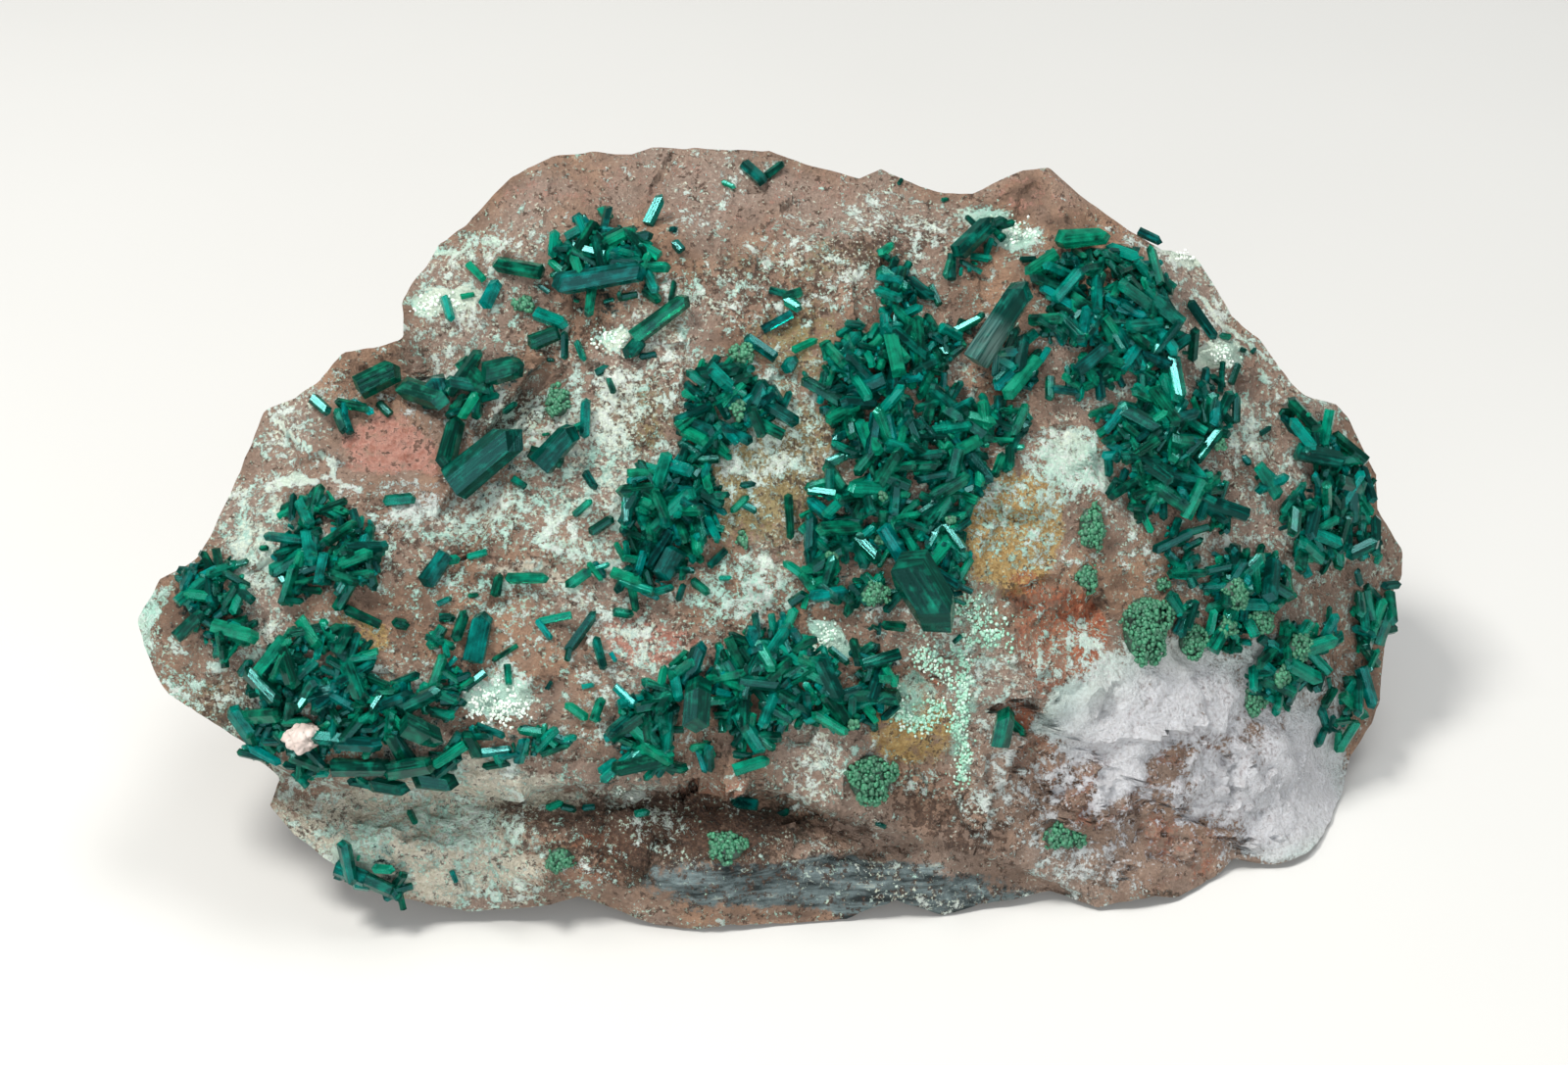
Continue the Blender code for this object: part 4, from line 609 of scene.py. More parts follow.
# Crusts of small pale grains: the line they follow, half width in sight units, and how white they are
Crust = namedtuple("Crust", "line half_width white")
CRUSTS = (
    Crust(((904, 702), (912, 716), (918, 730), (934, 740), (958, 736), (958, 722), (948, 712)), 9, 0.1),
    Crust(((985, 650), (982, 700), (978, 740), (986, 772), (980, 800)), 8, 0.1),
    Crust(((936, 664), (960, 684), (985, 690)), 12, 0.2),
    Crust(((975, 612), (1000, 640), (1022, 650)), 16, 0.1),
    Crust(((430, 316), (450, 306), (470, 312)), 8, 0.8), Crust(((486, 722), (530, 720)), 17, 0.8),
    Crust(((612, 344), (632, 346)), 10, 0.6), Crust(((1246, 352), (1254, 380)), 9, 0.7),
    Crust(((1010, 228), (1030, 234), (1048, 240)), 10, 0.6), Crust(((1196, 258), (1214, 264)), 4, 1.0),
    Crust(((826, 664), (846, 646)), 11, 0.6), Crust(((632, 806), (640, 812)), 6, 0.8),
)
# Grains to a square sight unit, how far they stray from their line, the spread of their tone, the size and
# seed of their clumps and how many these keep, how deep they sit, and their size in mm and form
CRUST_SEED = 300
CRUST_CROWD = 0.22
CRUST_SPREAD = 0.6
CRUST_TONE_SPREAD = 0.25
CRUST_CLUMP = (9.0, 95)
CRUST_KEPT_RANGE = (-0.9, 0.5)
CRUST_STANDOFF_RANGE = (-0.4, 0.5)
CRUST_GRAIN_RANGE = (0.1, 0.24)
CRUST_GRAIN_FORM = (0.7, 1.3)
GRAIN_BALL = (4, 6)

# The pebble: right, down, width and height, its lumps and its patches (height, size and seed of their
# noise), its middle tone, its depth, and how far it stands off the rock
PEBBLE = (319, 748, 34, 27)
PEBBLE_LUMPS = ((0.3, 0.8, 91), (0.22, 0.35, 92), (0.08, 0.15, 94))
PEBBLE_BALL = (48, 72)
PEBBLE_PATCHES = (0.5, 0.4, 93)
PEBBLE_TONE = 0.55
PEBBLE_DEPTH = 1.2
PEBBLE_STANDOFF = 0.85

# Matt grains: size and level of the noise that shows as specks, relief, roughness and IOR
Grit = namedtuple("Grit", "size level relief roughness ior")
MALACHITE_GRIT = Grit(0.33 * MM, 0.55, 0.1 * MM, 0.6, 1.7)
CRUST_GRIT = Grit(0.45 * MM, 0.575, 0.12 * MM, 0.7, 1.5)

# The worn grey patch on the large prism: its middle in the sight, its height over the face and its reach
WORN_SIGHT = (1010, 352)
WORN_HEIGHT = 2.5 * MM
WORN_REACH = 4.0 * MM

# Mounds on the dioptase stand this far off the rock. A mound's dome: rise to its half width, and the
# shares of its outline and rise that the smooth core takes. Its grains: how far out and how close they
# are set, their size in mm, form and tone, how wavy their outline is, and how deep they sit.
CRUST_THICKNESS = 1.7 * MM
MOUND_SEED = 200
DOME_BALL = (8, 16)
DOME_RISE = 0.62
DOME_SHARE = 0.9
DOME_HEIGHT = 0.92
MOUND_FILL = 0.94
MOUND_CROWD = 1.6
MOUND_GRAIN_RANGE = (0.16, 0.34)
MOUND_GRAIN_FORM = (0.75, 1.25)
MOUND_TONE_RANGE = (0.3, 1.0)
MOUND_WAVE = 0.16
MOUND_RIPPLE = 0.1
MOUND_TOP = 1.05
MOUND_STANDOFF_RANGE = (-0.12, 0.2)

# Malachite mounds: node they replace or none, right, down, width and height in sight units
Mound = namedtuple("Mound", "node right down width height")
MOUNDS = (
    Mound("malachite_disc", 888, 794, 50, 54),
    Mound("malachite_lip_middle", 741, 864, 42, 34),
    Mound("malachite_lip_left", 571, 876, 30, 27),
    Mound("malachite_lip_right", 1085, 853, 48, 28),
    Mound("malachite_band_upper", 1113, 539, 28, 48),
    Mound("malachite_band_lower", 1108, 590, 25, 32),
    Mound("malachite_patch_left", 1168, 642, 54, 74),
    Mound("malachite_patch_right", 1216, 654, 34, 38),
    Mound("malachite_drop", 1278, 712, 30, 38),
    Mound("malachite_fracture", 571, 411, 28, 34),
    Mound("malachite_upper_left", 534, 311, 24, 17),
    Mound("", 757, 363, 28, 25), Mound("", 755, 422, 18, 22), Mound("", 752, 446, 20, 12),
    Mound("", 760, 551, 20, 16), Mound("", 891, 606, 30, 24), Mound("", 847, 568, 12, 10),
    Mound("", 1233, 455, 20, 14), Mound("", 1276, 632, 34, 30), Mound("", 1250, 607, 34, 34),
    Mound("", 1315, 660, 34, 28), Mound("", 1243, 640, 22, 20), Mound("", 1296, 690, 20, 22),
    Mound("", 1186, 596, 16, 15), Mound("", 894, 553, 10, 10),
    Mound("", 899, 508, 10, 9), Mound("", 966, 532, 10, 10), Mound("", 998, 482, 10, 10),
    Mound("", 867, 737, 12, 10),
)


# The studio: name, place, size, share of the key light's power, and colour
LIGHTS = (
    ("key_light", (-0.26, -0.06, 0.6), (0.15, 0.15), 1.0, (1.0, 0.98, 0.95)),
    ("fill_light", (0.08, -0.62, 0.24), (0.9, 0.5), 0.9, (0.94, 0.97, 1.0)),
    ("side_light", (-0.42, -0.4, 0.14), (0.4, 0.25), 0.12, (1.0, 0.99, 0.96)),
    ("top_light", (0.15, 0.1, 0.65), (0.3, 0.2), 0.45, (1.0, 1.0, 1.0)),
)
LIGHT_TARGET = (0.0, 0.0, 0.03)
SKY_COLOUR = (0.86, 0.9, 0.95, 1.0)
FLOOR_REACH = 3.0
FLOOR_CLOUD_SIZE = 125 * MM


def linear(code):
    """An sRGB hex colour as linear red, green and blue."""
    channels = [int(code[place:place + 2], 16) / 255 for place in (0, 2, 4)]
    return tuple(c / 12.92 if c <= 0.04045 else ((c + 0.055) / 1.055) ** 2.4 for c in channels)


def noise(places, size, seed):
    """Smooth noise from -1 to 1: random heights on a cubic lattice, joined by soft curves."""
    lattice = np.random.default_rng(seed).uniform(-1, 1, (LATTICE,) * 3)
    cell = np.asarray(places) / size
    low = np.floor(cell).astype(int)
    part = cell - low
    part = part * part * (3 - 2 * part)
    total = np.zeros(cell.shape[:-1])
    for corner in product((0, 1), repeat=3):
        index = (low + corner) % LATTICE
        weight = np.prod(np.where(corner, part, 1 - part), axis=-1)
        total += weight * lattice[index[..., 0], index[..., 1], index[..., 2]]
    return total


def facets(places, size, tilt, step, seed):
    """Broken facets: space is parted into cells round scattered points, and each cell's surface is a
    plane of its own tilt and level."""
    random = np.random.default_rng(seed)
    lattice = (FACET_LATTICE,) * 3
    offset = random.uniform(0, 1, (*lattice, 3))
    slope = random.normal(0, tilt, (*lattice, 3))
    level = random.uniform(-step, step, lattice)
    cell = places / size
    low = np.floor(cell).astype(int)
    nearest = np.full(len(places), np.inf)
    height = np.zeros(len(places))
    for shift in product((-1, 0, 1), repeat=3):
        index = low + shift
        wrapped = tuple((index % FACET_LATTICE).T)
        away = cell - (index + offset[wrapped])
        distance = np.sum(away**2, axis=1)
        closer = distance < nearest
        nearest = np.where(closer, distance, nearest)
        plane = np.sum(away * slope[wrapped], axis=1) * size + level[wrapped]
        height = np.where(closer, plane, height)
    return height


def soft_step(value):
    """Rises smoothly from 0 to 1 while value does."""
    value = np.clip(value, 0, 1)
    return value * value * (3 - 2 * value)


def spread(distance):
    """The thin plate's kernel: the squared distance times its logarithm."""
    return distance**2 * np.log(distance + 1e-9)


def fit_plate(controls):
    """Fits a thin plate through points of the face, and returns the function of its height."""
    controls = np.array(controls)
    knots = controls[:, :2] / PLATE_UNIT
    count = len(knots)
    flat = np.column_stack([np.ones(count), knots])
    system = np.zeros((count + 3, count + 3))
    system[:count, :count] = spread(np.linalg.norm(knots[:, None] - knots[None], axis=2))
    system[:count, :count] += np.eye(count) * PLATE_EASE
    system[:count, count:] = flat
    system[count:, :count] = flat.T
    weights = np.linalg.solve(system, np.append(controls[:, 2], [0, 0, 0]))

    def height(sights):
        """The plate's height at each sight, in millimetres."""
        places = np.asarray(sights) / PLATE_UNIT
        level = weights[count] + places @ weights[count + 1:]
        for knot, weight in zip(knots, weights[:count]):
            level = level + weight * spread(np.linalg.norm(places - knot, axis=-1))
        return level

    return height


PLATE = fit_plate(FACE_HEIGHTS)


def beside(sights, line):
    """How far each sight lies to the right hand side of a line, and how far beyond its ends."""
    line = np.array(line, dtype=float)
    best = np.full(sights.shape[:-1], np.inf)
    side = np.zeros(sights.shape[:-1])
    for start, end in zip(line[:-1], line[1:]):
        along = end - start
        length = np.linalg.norm(along)
        share = np.clip(((sights - start) @ along) / length**2, 0, 1)
        away = sights - (start + share[..., None] * along)
        distance = np.linalg.norm(away, axis=-1)
        turn = (along[0] * away[..., 1] - along[1] * away[..., 0]) / length
        nearer = distance < best
        best = np.where(nearer, distance, best)
        side = np.where(nearer, turn, side)
    return side, np.sqrt(np.maximum(best**2 - side**2, 0))


def step_height(sights, step):
    """The height that a step takes from the face: a quick drop past its line and a slow recovery."""
    side, past_end = beside(sights, step.line)
    drop = soft_step(side / step.ramp) * soft_step(1 - side / step.reach)
    return -step.drop * drop * soft_step(1 - past_end / step.reach)


def groove(sights, line, depth, width):
    """The height that a groove along a line takes from the face."""
    side, past_end = beside(sights, line)
    return -depth * np.exp(-(side**2 + past_end**2) / width**2)


def face_height(sights):
    """The face's height in metres at each sight."""
    sights = np.asarray(sights, dtype=float)
    height = PLATE(sights)
    for step in (LEDGE, FRACTURE, LIP_RIDGE):
        height = height + step_height(sights, step)
    height = height + groove(sights, CREASE_LINE, CREASE_DEPTH, CREASE_WIDTH)
    height = height + groove(sights, CRACK_LINE, CRACK_DEPTH, CRACK_WIDTH)
    return height * MM


def place(sights, height):
    """The point in space that is seen at each sight and stands at that height."""
    sights = np.asarray(sights, dtype=float)
    reach = SIGHT_DISTANCE - np.asarray(height)
    aside = (sights[..., 0] - SIGHT_CENTRE[0]) / SIGHT_FOCAL
    above = (SIGHT_CENTRE[1] - sights[..., 1]) / SIGHT_FOCAL
    ray = SIGHT_FORWARD + aside[..., None] * SIGHT_RIGHT + above[..., None] * SIGHT_UP
    return EYE + ray * reach[..., None] + ORIGIN_SHIFT


def face_frames(sights):
    """The face's outward normals at sights, from its slope nearby, and metres per sight unit."""
    left, right, top, bottom = (
        place(sights + np.array(step), face_height(sights + np.array(step)))
        for step in ((-SLOPE_REACH, 0), (SLOPE_REACH, 0), (0, -SLOPE_REACH), (0, SLOPE_REACH))
    )
    normals = np.cross(right - left, top - bottom)
    scale = (SIGHT_DISTANCE - face_height(sights)) / SIGHT_FOCAL
    return normals / np.linalg.norm(normals, axis=-1, keepdims=True), scale


def square_to_disc(across, down):
    """Maps the square from -1 to 1 onto the unit disc, keeping its cells even."""
    wide = np.abs(across) >= np.abs(down)
    radius = np.where(wide, across, down)
    other = np.where(wide, down, across)
    turn = (pi / 4) * other / np.where(radius == 0, 1, radius)
    right = np.where(wide, radius * np.cos(turn), radius * np.sin(turn))
    below = np.where(wide, radius * np.sin(turn), radius * np.cos(turn))
    return np.arctan2(below, right), np.hypot(right, below)


def rim_radius(angle):
    """The outline's distance from the face's middle at each angle, in sight units."""
    offsets = np.array(RIM, dtype=float) - ROCK_MIDDLE
    corners = np.arctan2(offsets[:, 1], offsets[:, 0])
    order = np.argsort(corners)
    corners = corners[order]
    points = offsets[order]
    angle = (np.asarray(angle) + pi) % (2 * pi) - pi
    after = np.searchsorted(corners, angle) % len(corners)
    start = points[after - 1]
    end = points[after]
    ray = np.stack([np.cos(angle), np.sin(angle)], axis=-1)
    edge = end - start
    top = start[..., 0] * edge[..., 1] - start[..., 1] * edge[..., 0]
    return top / (ray[..., 0] * edge[..., 1] - ray[..., 1] * edge[..., 0])


def smoothed_ring(ring, share):
    """A closed ring of points, each averaged over this share of the ring to either side."""
    reach = max(1, round(share * len(ring)))
    return np.mean([np.roll(ring, offset, axis=0) for offset in range(-reach, reach + 1)], axis=0)


def around(grid):
    """The numbers on a grid's edge, in order round it."""
    return np.concatenate([grid[0, :-1], grid[:-1, -1], grid[-1, :0:-1], grid[:0:-1, 0]])


def way_back(front, corner, share):
    """The way from the rim straight back to the corner, and on to the middle of the back."""
    path = front + (corner - front) * soft_step(share / BACK_TURN)
    return path + (BACK_MIDDLE - corner) * soft_step((share + BACK_TURN - 1) / BACK_TURN)


def rock_surface(columns, rows, rings):
    """The block's surface: a face grid cut to the outline, rings that run back from it, and a grid of
    cells twice as wide over the back. Returns points, quads, triangles, the face's sights, the rim's
    point numbers and how far each point lies on the way from the rim (0) to the middle of the back (1)."""
    across, down = np.meshgrid(np.linspace(-1, 1, columns + 1), np.linspace(-1, 1, rows + 1))
    angle, share = square_to_disc(across, down)
    directions = np.stack([np.cos(angle), np.sin(angle)], axis=-1)
    sights = ROCK_MIDDLE + (share * rim_radius(angle))[..., None] * directions
    face = place(sights, face_height(sights)).reshape(-1, 3)
    index = np.arange(len(face)).reshape(rows + 1, columns + 1)
    cells = (index[:-1, :-1], index[1:, :-1], index[1:, 1:], index[:-1, 1:])
    quads = [np.stack(cells, axis=-1).reshape(-1, 4)]
    rim = around(index)
    front = face[rim] - ORIGIN_SHIFT
    corner = smoothed_ring(front, BACK_SMOOTHING)
    corner[:, 0] *= BACK_TAPER
    back = BACK_DEPTH + BACK_LEAN * corner[:, 0] - BACK_ROUNDING * (corner[:, 0] / BACK_HALF_WIDTH) ** 2
    corner[:, 1] = np.maximum(back, corner[:, 1] + CREST_THICKNESS)
    corner[:, 2] = corner[:, 2] * BACK_TAPER - BASE_SINK * np.exp(-((corner[:, 2] / BASE_FADE) ** 2))
    marks = np.linspace(0, 1, WAY_MARKS)
    ways = np.array([way_back(front[::RING_STRIDE], corner[::RING_STRIDE], mark) for mark in marks])
    steps = np.linalg.norm(np.diff(ways, axis=0), axis=-1).mean(axis=1)
    gone = np.concatenate([[0], np.cumsum(steps)]) / steps.sum()
    parts = RIM_PART * np.arange(1, rings + 1) / rings
    shares = np.interp(parts, gone, marks)
    points = [face, way_back(front, corner, shares[0])]
    total = len(face) + len(rim)
    ring = np.arange(len(face), total)
    quads.append(np.stack([rim, np.roll(rim, -1), np.roll(ring, -1), ring], axis=-1))
    half = len(rim) // 2
    later = total + np.arange(half * (rings - 1)).reshape(rings - 1, half)
    points += [way_back(front[::2], corner[::2], mark) for mark in shares[1:]]
    triangles = np.stack([ring[::2], ring[1::2], later[0]], axis=-1)
    after = np.roll(later[0], -1)
    quads.append(np.stack([ring[1::2], np.roll(ring, -2)[::2], after, later[0]], axis=-1))
    after = np.roll(later, -1, axis=1)
    quads.append(np.stack([later[:-1], after[:-1], after[1:], later[1:]], axis=-1).reshape(-1, 4))
    total += later.size
    back_angle, back_radius = angle[::2, ::2], share[::2, ::2]
    number = np.zeros(back_angle.shape, dtype=int)
    inner = (slice(1, -1), slice(1, -1))
    number[inner] = total + np.arange(number[inner].size).reshape(number[inner].shape)
    edge = around(np.arange(number.size).reshape(number.shape))
    number.ravel()[edge] = later[-1]
    cells = (number[:-1, :-1], number[:-1, 1:], number[1:, 1:], number[1:, :-1])
    quads.append(np.stack(cells, axis=-1).reshape(-1, 4))
    turns = back_angle[inner].ravel()
    inner_parts = 1 - (1 - RIM_PART) * back_radius[inner].ravel()
    rim_turns = angle.ravel()[rim]
    laid = [
        np.stack([np.interp(turns, rim_turns, ends[:, axis], period=2 * pi) for axis in range(3)], axis=-1)
        for ends in (front, corner)
    ]
    points.append(way_back(*laid, np.interp(inner_parts, gone, marks)[:, None]))
    for part in range(1, len(points)):
        points[part] = points[part] + ORIGIN_SHIFT
    depths = [np.zeros(len(face)), np.full(len(rim), parts[0]), np.repeat(parts[1:], half), inner_parts]
    sights = sights.reshape(-1, 2)
    return np.concatenate(points), np.concatenate(quads), triangles, sights, rim, np.concatenate(depths)


def seen(places):
    """Where points appear in the sight, measured from the rock's middle, and how deep they lie."""
    away = places - EYE - ORIGIN_SHIFT
    depth = away @ SIGHT_FORWARD
    offset = np.stack([away @ SIGHT_RIGHT, -(away @ SIGHT_UP)], axis=-1) * (SIGHT_FOCAL / depth)[:, None]
    return offset + SIGHT_CENTRE - ROCK_MIDDLE, depth


def behind_rim(points, rim, first):
    """Draws the back in across the line of sight, so that no point of it shows outside the rim."""
    edge, _ = seen(points[rim])
    angles = np.arctan2(edge[:, 1], edge[:, 0])
    order = np.argsort(angles)
    offset, depth = seen(points[first:])
    radius = np.hypot(*offset.T)
    turns = np.arctan2(offset[:, 1], offset[:, 0])
    limit = np.interp(turns, angles[order], np.hypot(*edge.T)[order], period=2 * pi)
    excess = np.maximum(radius - limit + RIM_MARGIN, 0)
    inward = -offset / np.maximum(radius, 1)[:, None] * (excess * depth / SIGHT_FOCAL)[:, None]
    points[first:] += inward[:, :1] * SIGHT_RIGHT - inward[:, 1:] * SIGHT_UP


def new_piece(name, points, quads, triangles, material):
    """Makes a piece of the specimen from arrays of points, quads and triangles."""
    mesh = bpy.data.meshes.new(name)
    corners = np.concatenate([quads.ravel(), triangles.ravel()]).astype(np.int32)
    starts = np.concatenate([np.arange(len(quads)) * 4, len(quads) * 4 + np.arange(len(triangles)) * 3])
    mesh.vertices.add(len(points))
    mesh.vertices.foreach_set("co", np.asarray(points, dtype=np.float32).ravel())
    mesh.loops.add(len(corners))
    mesh.loops.foreach_set("vertex_index", corners)
    mesh.polygons.add(len(starts))
    mesh.polygons.foreach_set("loop_start", starts.astype(np.int32))
    mesh.update(calc_edges=True)
    mesh.validate()
    mesh.materials.append(material)
    piece = bpy.data.objects.new(name, mesh)
    bpy.context.scene.collection.objects.link(piece)
    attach(piece, "root")
    return piece


def point_values(mesh, name, values):
    """Stores one number for each vertex under a name that a material reads."""
    stored = mesh.attributes.new(name, "FLOAT", "POINT")
    stored.data.foreach_set("value", np.asarray(values, dtype=np.float32))


def vertex_normals(mesh):
    """The mesh's vertex normals as an array."""
    normals = np.empty(len(mesh.vertices) * 3)
    mesh.vertex_normals.foreach_get("vector", normals)
    return normals.reshape(-1, 3)


def window_noise(sights):
    """Noise over the sights whose low parts are bare windows in the clusters."""
    return noise(np.column_stack([sights, np.full(len(sights), WINDOW_SIZE / 2)]), WINDOW_SIZE, WINDOW_SEED)


def stain_mask(sights, stains, softness=STAIN_EDGE):
    """How strongly stains cover each sight: ellipses with a soft edge, the strongest one counting."""
    mask = np.zeros(len(sights))
    for right, down, half_width, half_height, tilt, strength in stains:
        turn = radians(tilt)
        away = sights - (right, down)
        across = (away[:, 0] * cos(turn) - away[:, 1] * sin(turn)) / half_width
        along = (away[:, 0] * sin(turn) + away[:, 1] * cos(turn)) / half_height
        mask = np.maximum(mask, strength * soft_step(0.5 + (1 - np.hypot(across, along)) / softness))
    return mask


def inside(outline, sights):
    """Which sights lie inside an outline."""
    outline = np.array(outline, dtype=float)
    after = np.roll(outline, -1, axis=0)
    spans = (outline[:, 1] > sights[:, None, 1]) != (after[:, 1] > sights[:, None, 1])
    rise = np.where(after[:, 1] == outline[:, 1], 1.0, after[:, 1] - outline[:, 1])
    crossing = outline[:, 0] + (sights[:, None, 1] - outline[:, 1]) * (after[:, 0] - outline[:, 0]) / rise
    return np.count_nonzero(spans & (sights[:, None, 0] < crossing), axis=1) % 2 == 1


def scattered(outline, spacing, random):
    """Places inside an outline, on a shaken grid of this spacing."""
    outline = np.array(outline, dtype=float)
    low = outline.min(axis=0)
    high = outline.max(axis=0)
    columns, rows = (np.arange(low[axis], high[axis], spacing) for axis in (0, 1))
    sights = np.stack(np.meshgrid(columns, rows), axis=-1).reshape(-1, 2)
    sights = sights + random.uniform(-0.5, 0.5, sights.shape) * spacing
    return sights[inside(outline, sights)]


def add_node(tree, kind, inputs=None, output=0, **settings):
    """Adds a node with its settings, fills its inputs from values or from other nodes' outputs, and
    returns one of its own outputs."""
    made = tree.nodes.new(kind)
    for name, value in settings.items():
        setattr(made, name, value)
    for number, source in (inputs or {}).items():
        socket = made.inputs[number]
        if isinstance(source, bpy.types.NodeSocket):
            tree.links.new(source, socket)
        elif socket.type == "RGBA":
            socket.default_value = (*source, 1.0)
        else:
            socket.default_value = source
    return made.outputs[output]


def new_material(name):
    """An empty material, its node tree, its shader and its output."""
    material = bpy.data.materials.new(name)
    material.use_nodes = True
    tree = material.node_tree
    tree.nodes.clear()
    shader = tree.nodes.new("ShaderNodeBsdfPrincipled")
    output = tree.nodes.new("ShaderNodeOutputMaterial")
    tree.links.new(shader.outputs[0], output.inputs["Surface"])
    return material, tree, shader, output


def tinted(tree, texture, contrast, dark, light):
    """A coat's colour: from dark to light as a texture rises, with the contrast about its middle."""
    parts = {0: texture, 1: contrast, 2: 0.5 - 0.5 * contrast}
    level = add_node(tree, "ShaderNodeMath", parts, **CLAMPED_SUM)
    return add_node(tree, "ShaderNodeMix", {0: level, 6: dark, 7: light}, **COLOUR_MIX)


def covered_by(tree, texture, amount, softness, none, full, part=1.0):
    """Where a coat lies: where its texture passes a level that falls from none to full as the amount
    rises from 0 to 1, with a soft edge, and no thicker than its part."""
    level = add_node(tree, "ShaderNodeMath", {0: amount, 1: full - none, 2: none}, operation="MULTIPLY_ADD")
    over = add_node(tree, "ShaderNodeMath", {0: texture, 1: level}, operation="SUBTRACT")
    sharp = add_node(tree, "ShaderNodeMath", {0: over, 1: softness}, operation="DIVIDE", use_clamp=True)
    return add_node(tree, "ShaderNodeMath", {0: sharp, 1: part}, operation="MULTIPLY")


def weighted_sum(tree, parts):
    """Textures laid together: each times its weight, and a last constant."""
    total = parts[-1]
    for texture, weight in parts[:-1]:
        total = add_node(tree, "ShaderNodeMath", {0: texture, 1: weight, 2: total}, operation="MULTIPLY_ADD")
    return total


def rock_material(settings):
    """Broken altered rock: matt and grainy, pinkish brown and stained, with a streaky dark slick, and crust
    and dust of fine pale chrysocolla and calcite. Shade is painted in: dark brown specks for shade in small
    pits, part of the dark coat under the ledge and in the fracture, and near-black teal under the clusters."""
    material, tree, shader, _ = new_material("altered_rock")
    laid = add_node(tree, "ShaderNodeTexCoord", output="Object")
    texture = {}
    for name, (size, detail, roughness, stretch) in ROCK_TEXTURES.items():
        drawn = add_node(tree, "ShaderNodeMapping", {"Vector": laid, "Scale": stretch})
        inputs = {"Vector": drawn, "Scale": 1 / size, "Detail": detail, "Roughness": roughness}
        texture[name] = add_node(tree, "ShaderNodeTexNoise", inputs)
    stain = {
        name: add_node(tree, "ShaderNodeAttribute", output="Fac", attribute_name=name)
        for name in (*STAINS, "druse_and_shade") if name != "bare"
    }
    broad, patchy, ragged, mottled, fine, streaks = (texture[name] for name in ROCK_TEXTURES)
    drift = weighted_sum(tree, ((patchy, 1.1), (broad, 0.8), -0.95))
    drifted = {0: drift, 1: settings.drift, 2: stain["pale"]}
    pale = add_node(tree, "ShaderNodeMath", drifted, operation="MULTIPLY_ADD")
    powder = weighted_sum(tree, ((mottled, 0.38), (fine, 0.62), 0.0))
    slick = add_node(tree, "ShaderNodeMix", {
        0: covered_by(tree, streaks, 0.2, 0.05, 0.7, 0.3),
        6: tinted(tree, streaks, 4.5, linear("1F2B2C"), linear("86999A")), 7: linear("BCC6BA"),
    }, **COLOUR_MIX)
    crust_colour = add_node(tree, "ShaderNodeMix", {
        0: stain["lilac"], 6: tinted(tree, patchy, 5.0, linear("B4E2D2"), linear("E8F3EA")),
        7: tinted(tree, mottled, 4.0, linear("BFB9BC"), linear("E9EBEE")),
    }, **COLOUR_MIX)
    dust_colour = add_node(tree, "ShaderNodeMix", {
        0: stain["lilac"], 6: tinted(tree, broad, 6.0, linear("B2E2CE"), linear("E4F0DC")),
        7: linear("DCDDE0"),
    }, **COLOUR_MIX)
    crust = covered_by(tree, ragged, pale, 0.04, 0.66, 0.33)

    # The coats from the rock up: greyer parts, light grains, tints (the dark one partly painted shade),
    # slick, painted shade of small pits, crust, dust, and dark teal druse darkened to painted shade under the
    # clusters
    coats = [
        (covered_by(tree, broad, 0.0, 0.25, 0.375, 0.0),
         tinted(tree, mottled, 3.0, linear("8F7B6D"), linear("B8A394"))),
        (covered_by(tree, mottled, 0.5, 0.1, 0.7, 0.36, 0.45), linear("C3A791")),
    ]
    for name, dark, light, part in ROCK_TINTS:
        cover = covered_by(tree, ragged, stain[name], 0.13, 0.78, 0.34, part)
        coats.append((cover, tinted(tree, mottled, 3.5, linear(dark), linear(light))))
    coats += [
        (covered_by(tree, ragged, stain["slick"], 0.12, 0.8, 0.28), slick),
        # Painted shade: dark brown specks where small pits would be shaded
        (covered_by(tree, mottled, stain["pit_shade"], 0.05, 0.62, 0.36, 0.86),
         tinted(tree, fine, 3.0, linear("2E211B"), linear("6B4E3C"))),
        (crust, crust_colour),
        (covered_by(tree, powder, pale, 0.07, 0.64, 0.38, 0.8), dust_colour),
        # Near-black teal under the clusters: dark teal druse darkened to painted shade in the gaps between
        # prisms
        (covered_by(tree, ragged, stain["druse_and_shade"], 0.1, 0.75, 0.35), linear("02251F")),
    ]
    body = tinted(tree, patchy, 4.0, linear("7C6352"), settings.rock_colour)

    # Each coat lies over those before it, and fine shade makes the whole look grainy
    for cover, colour in coats:
        body = add_node(tree, "ShaderNodeMix", {0: cover, 6: body, 7: colour}, **COLOUR_MIX)
    shade = tinted(tree, fine, 2.2, (0.74, 0.72, 0.7), (1.0, 1.0, 1.0))
    shaded = {**COLOUR_MIX, "blend_type": "MULTIPLY"}
    body = add_node(tree, "ShaderNodeMix", {0: 1.0, 6: body, 7: shade}, **shaded)
    heights = ((ragged, 1.0), (fine, 0.35), (crust, 0.14), (mottled, 0.7), (patchy, 1.6), 0.0)
    bumps = weighted_sum(tree, heights)
    relief = add_node(tree, "ShaderNodeBump", {"Height": bumps, "Strength": 1.0, "Distance": ROCK_RELIEF})
    tree.links.new(body, shader.inputs["Base Color"])
    tree.links.new(relief, shader.inputs["Normal"])
    rough = add_node(tree, "ShaderNodeMath", {0: fine, 1: 0.3, 2: 0.62}, operation="MULTIPLY_ADD")
    tree.links.new(rough, shader.inputs["Roughness"])
    shader.inputs["IOR"].default_value = 1.5
    shader.inputs["Specular IOR Level"].default_value = 0.35
    return material


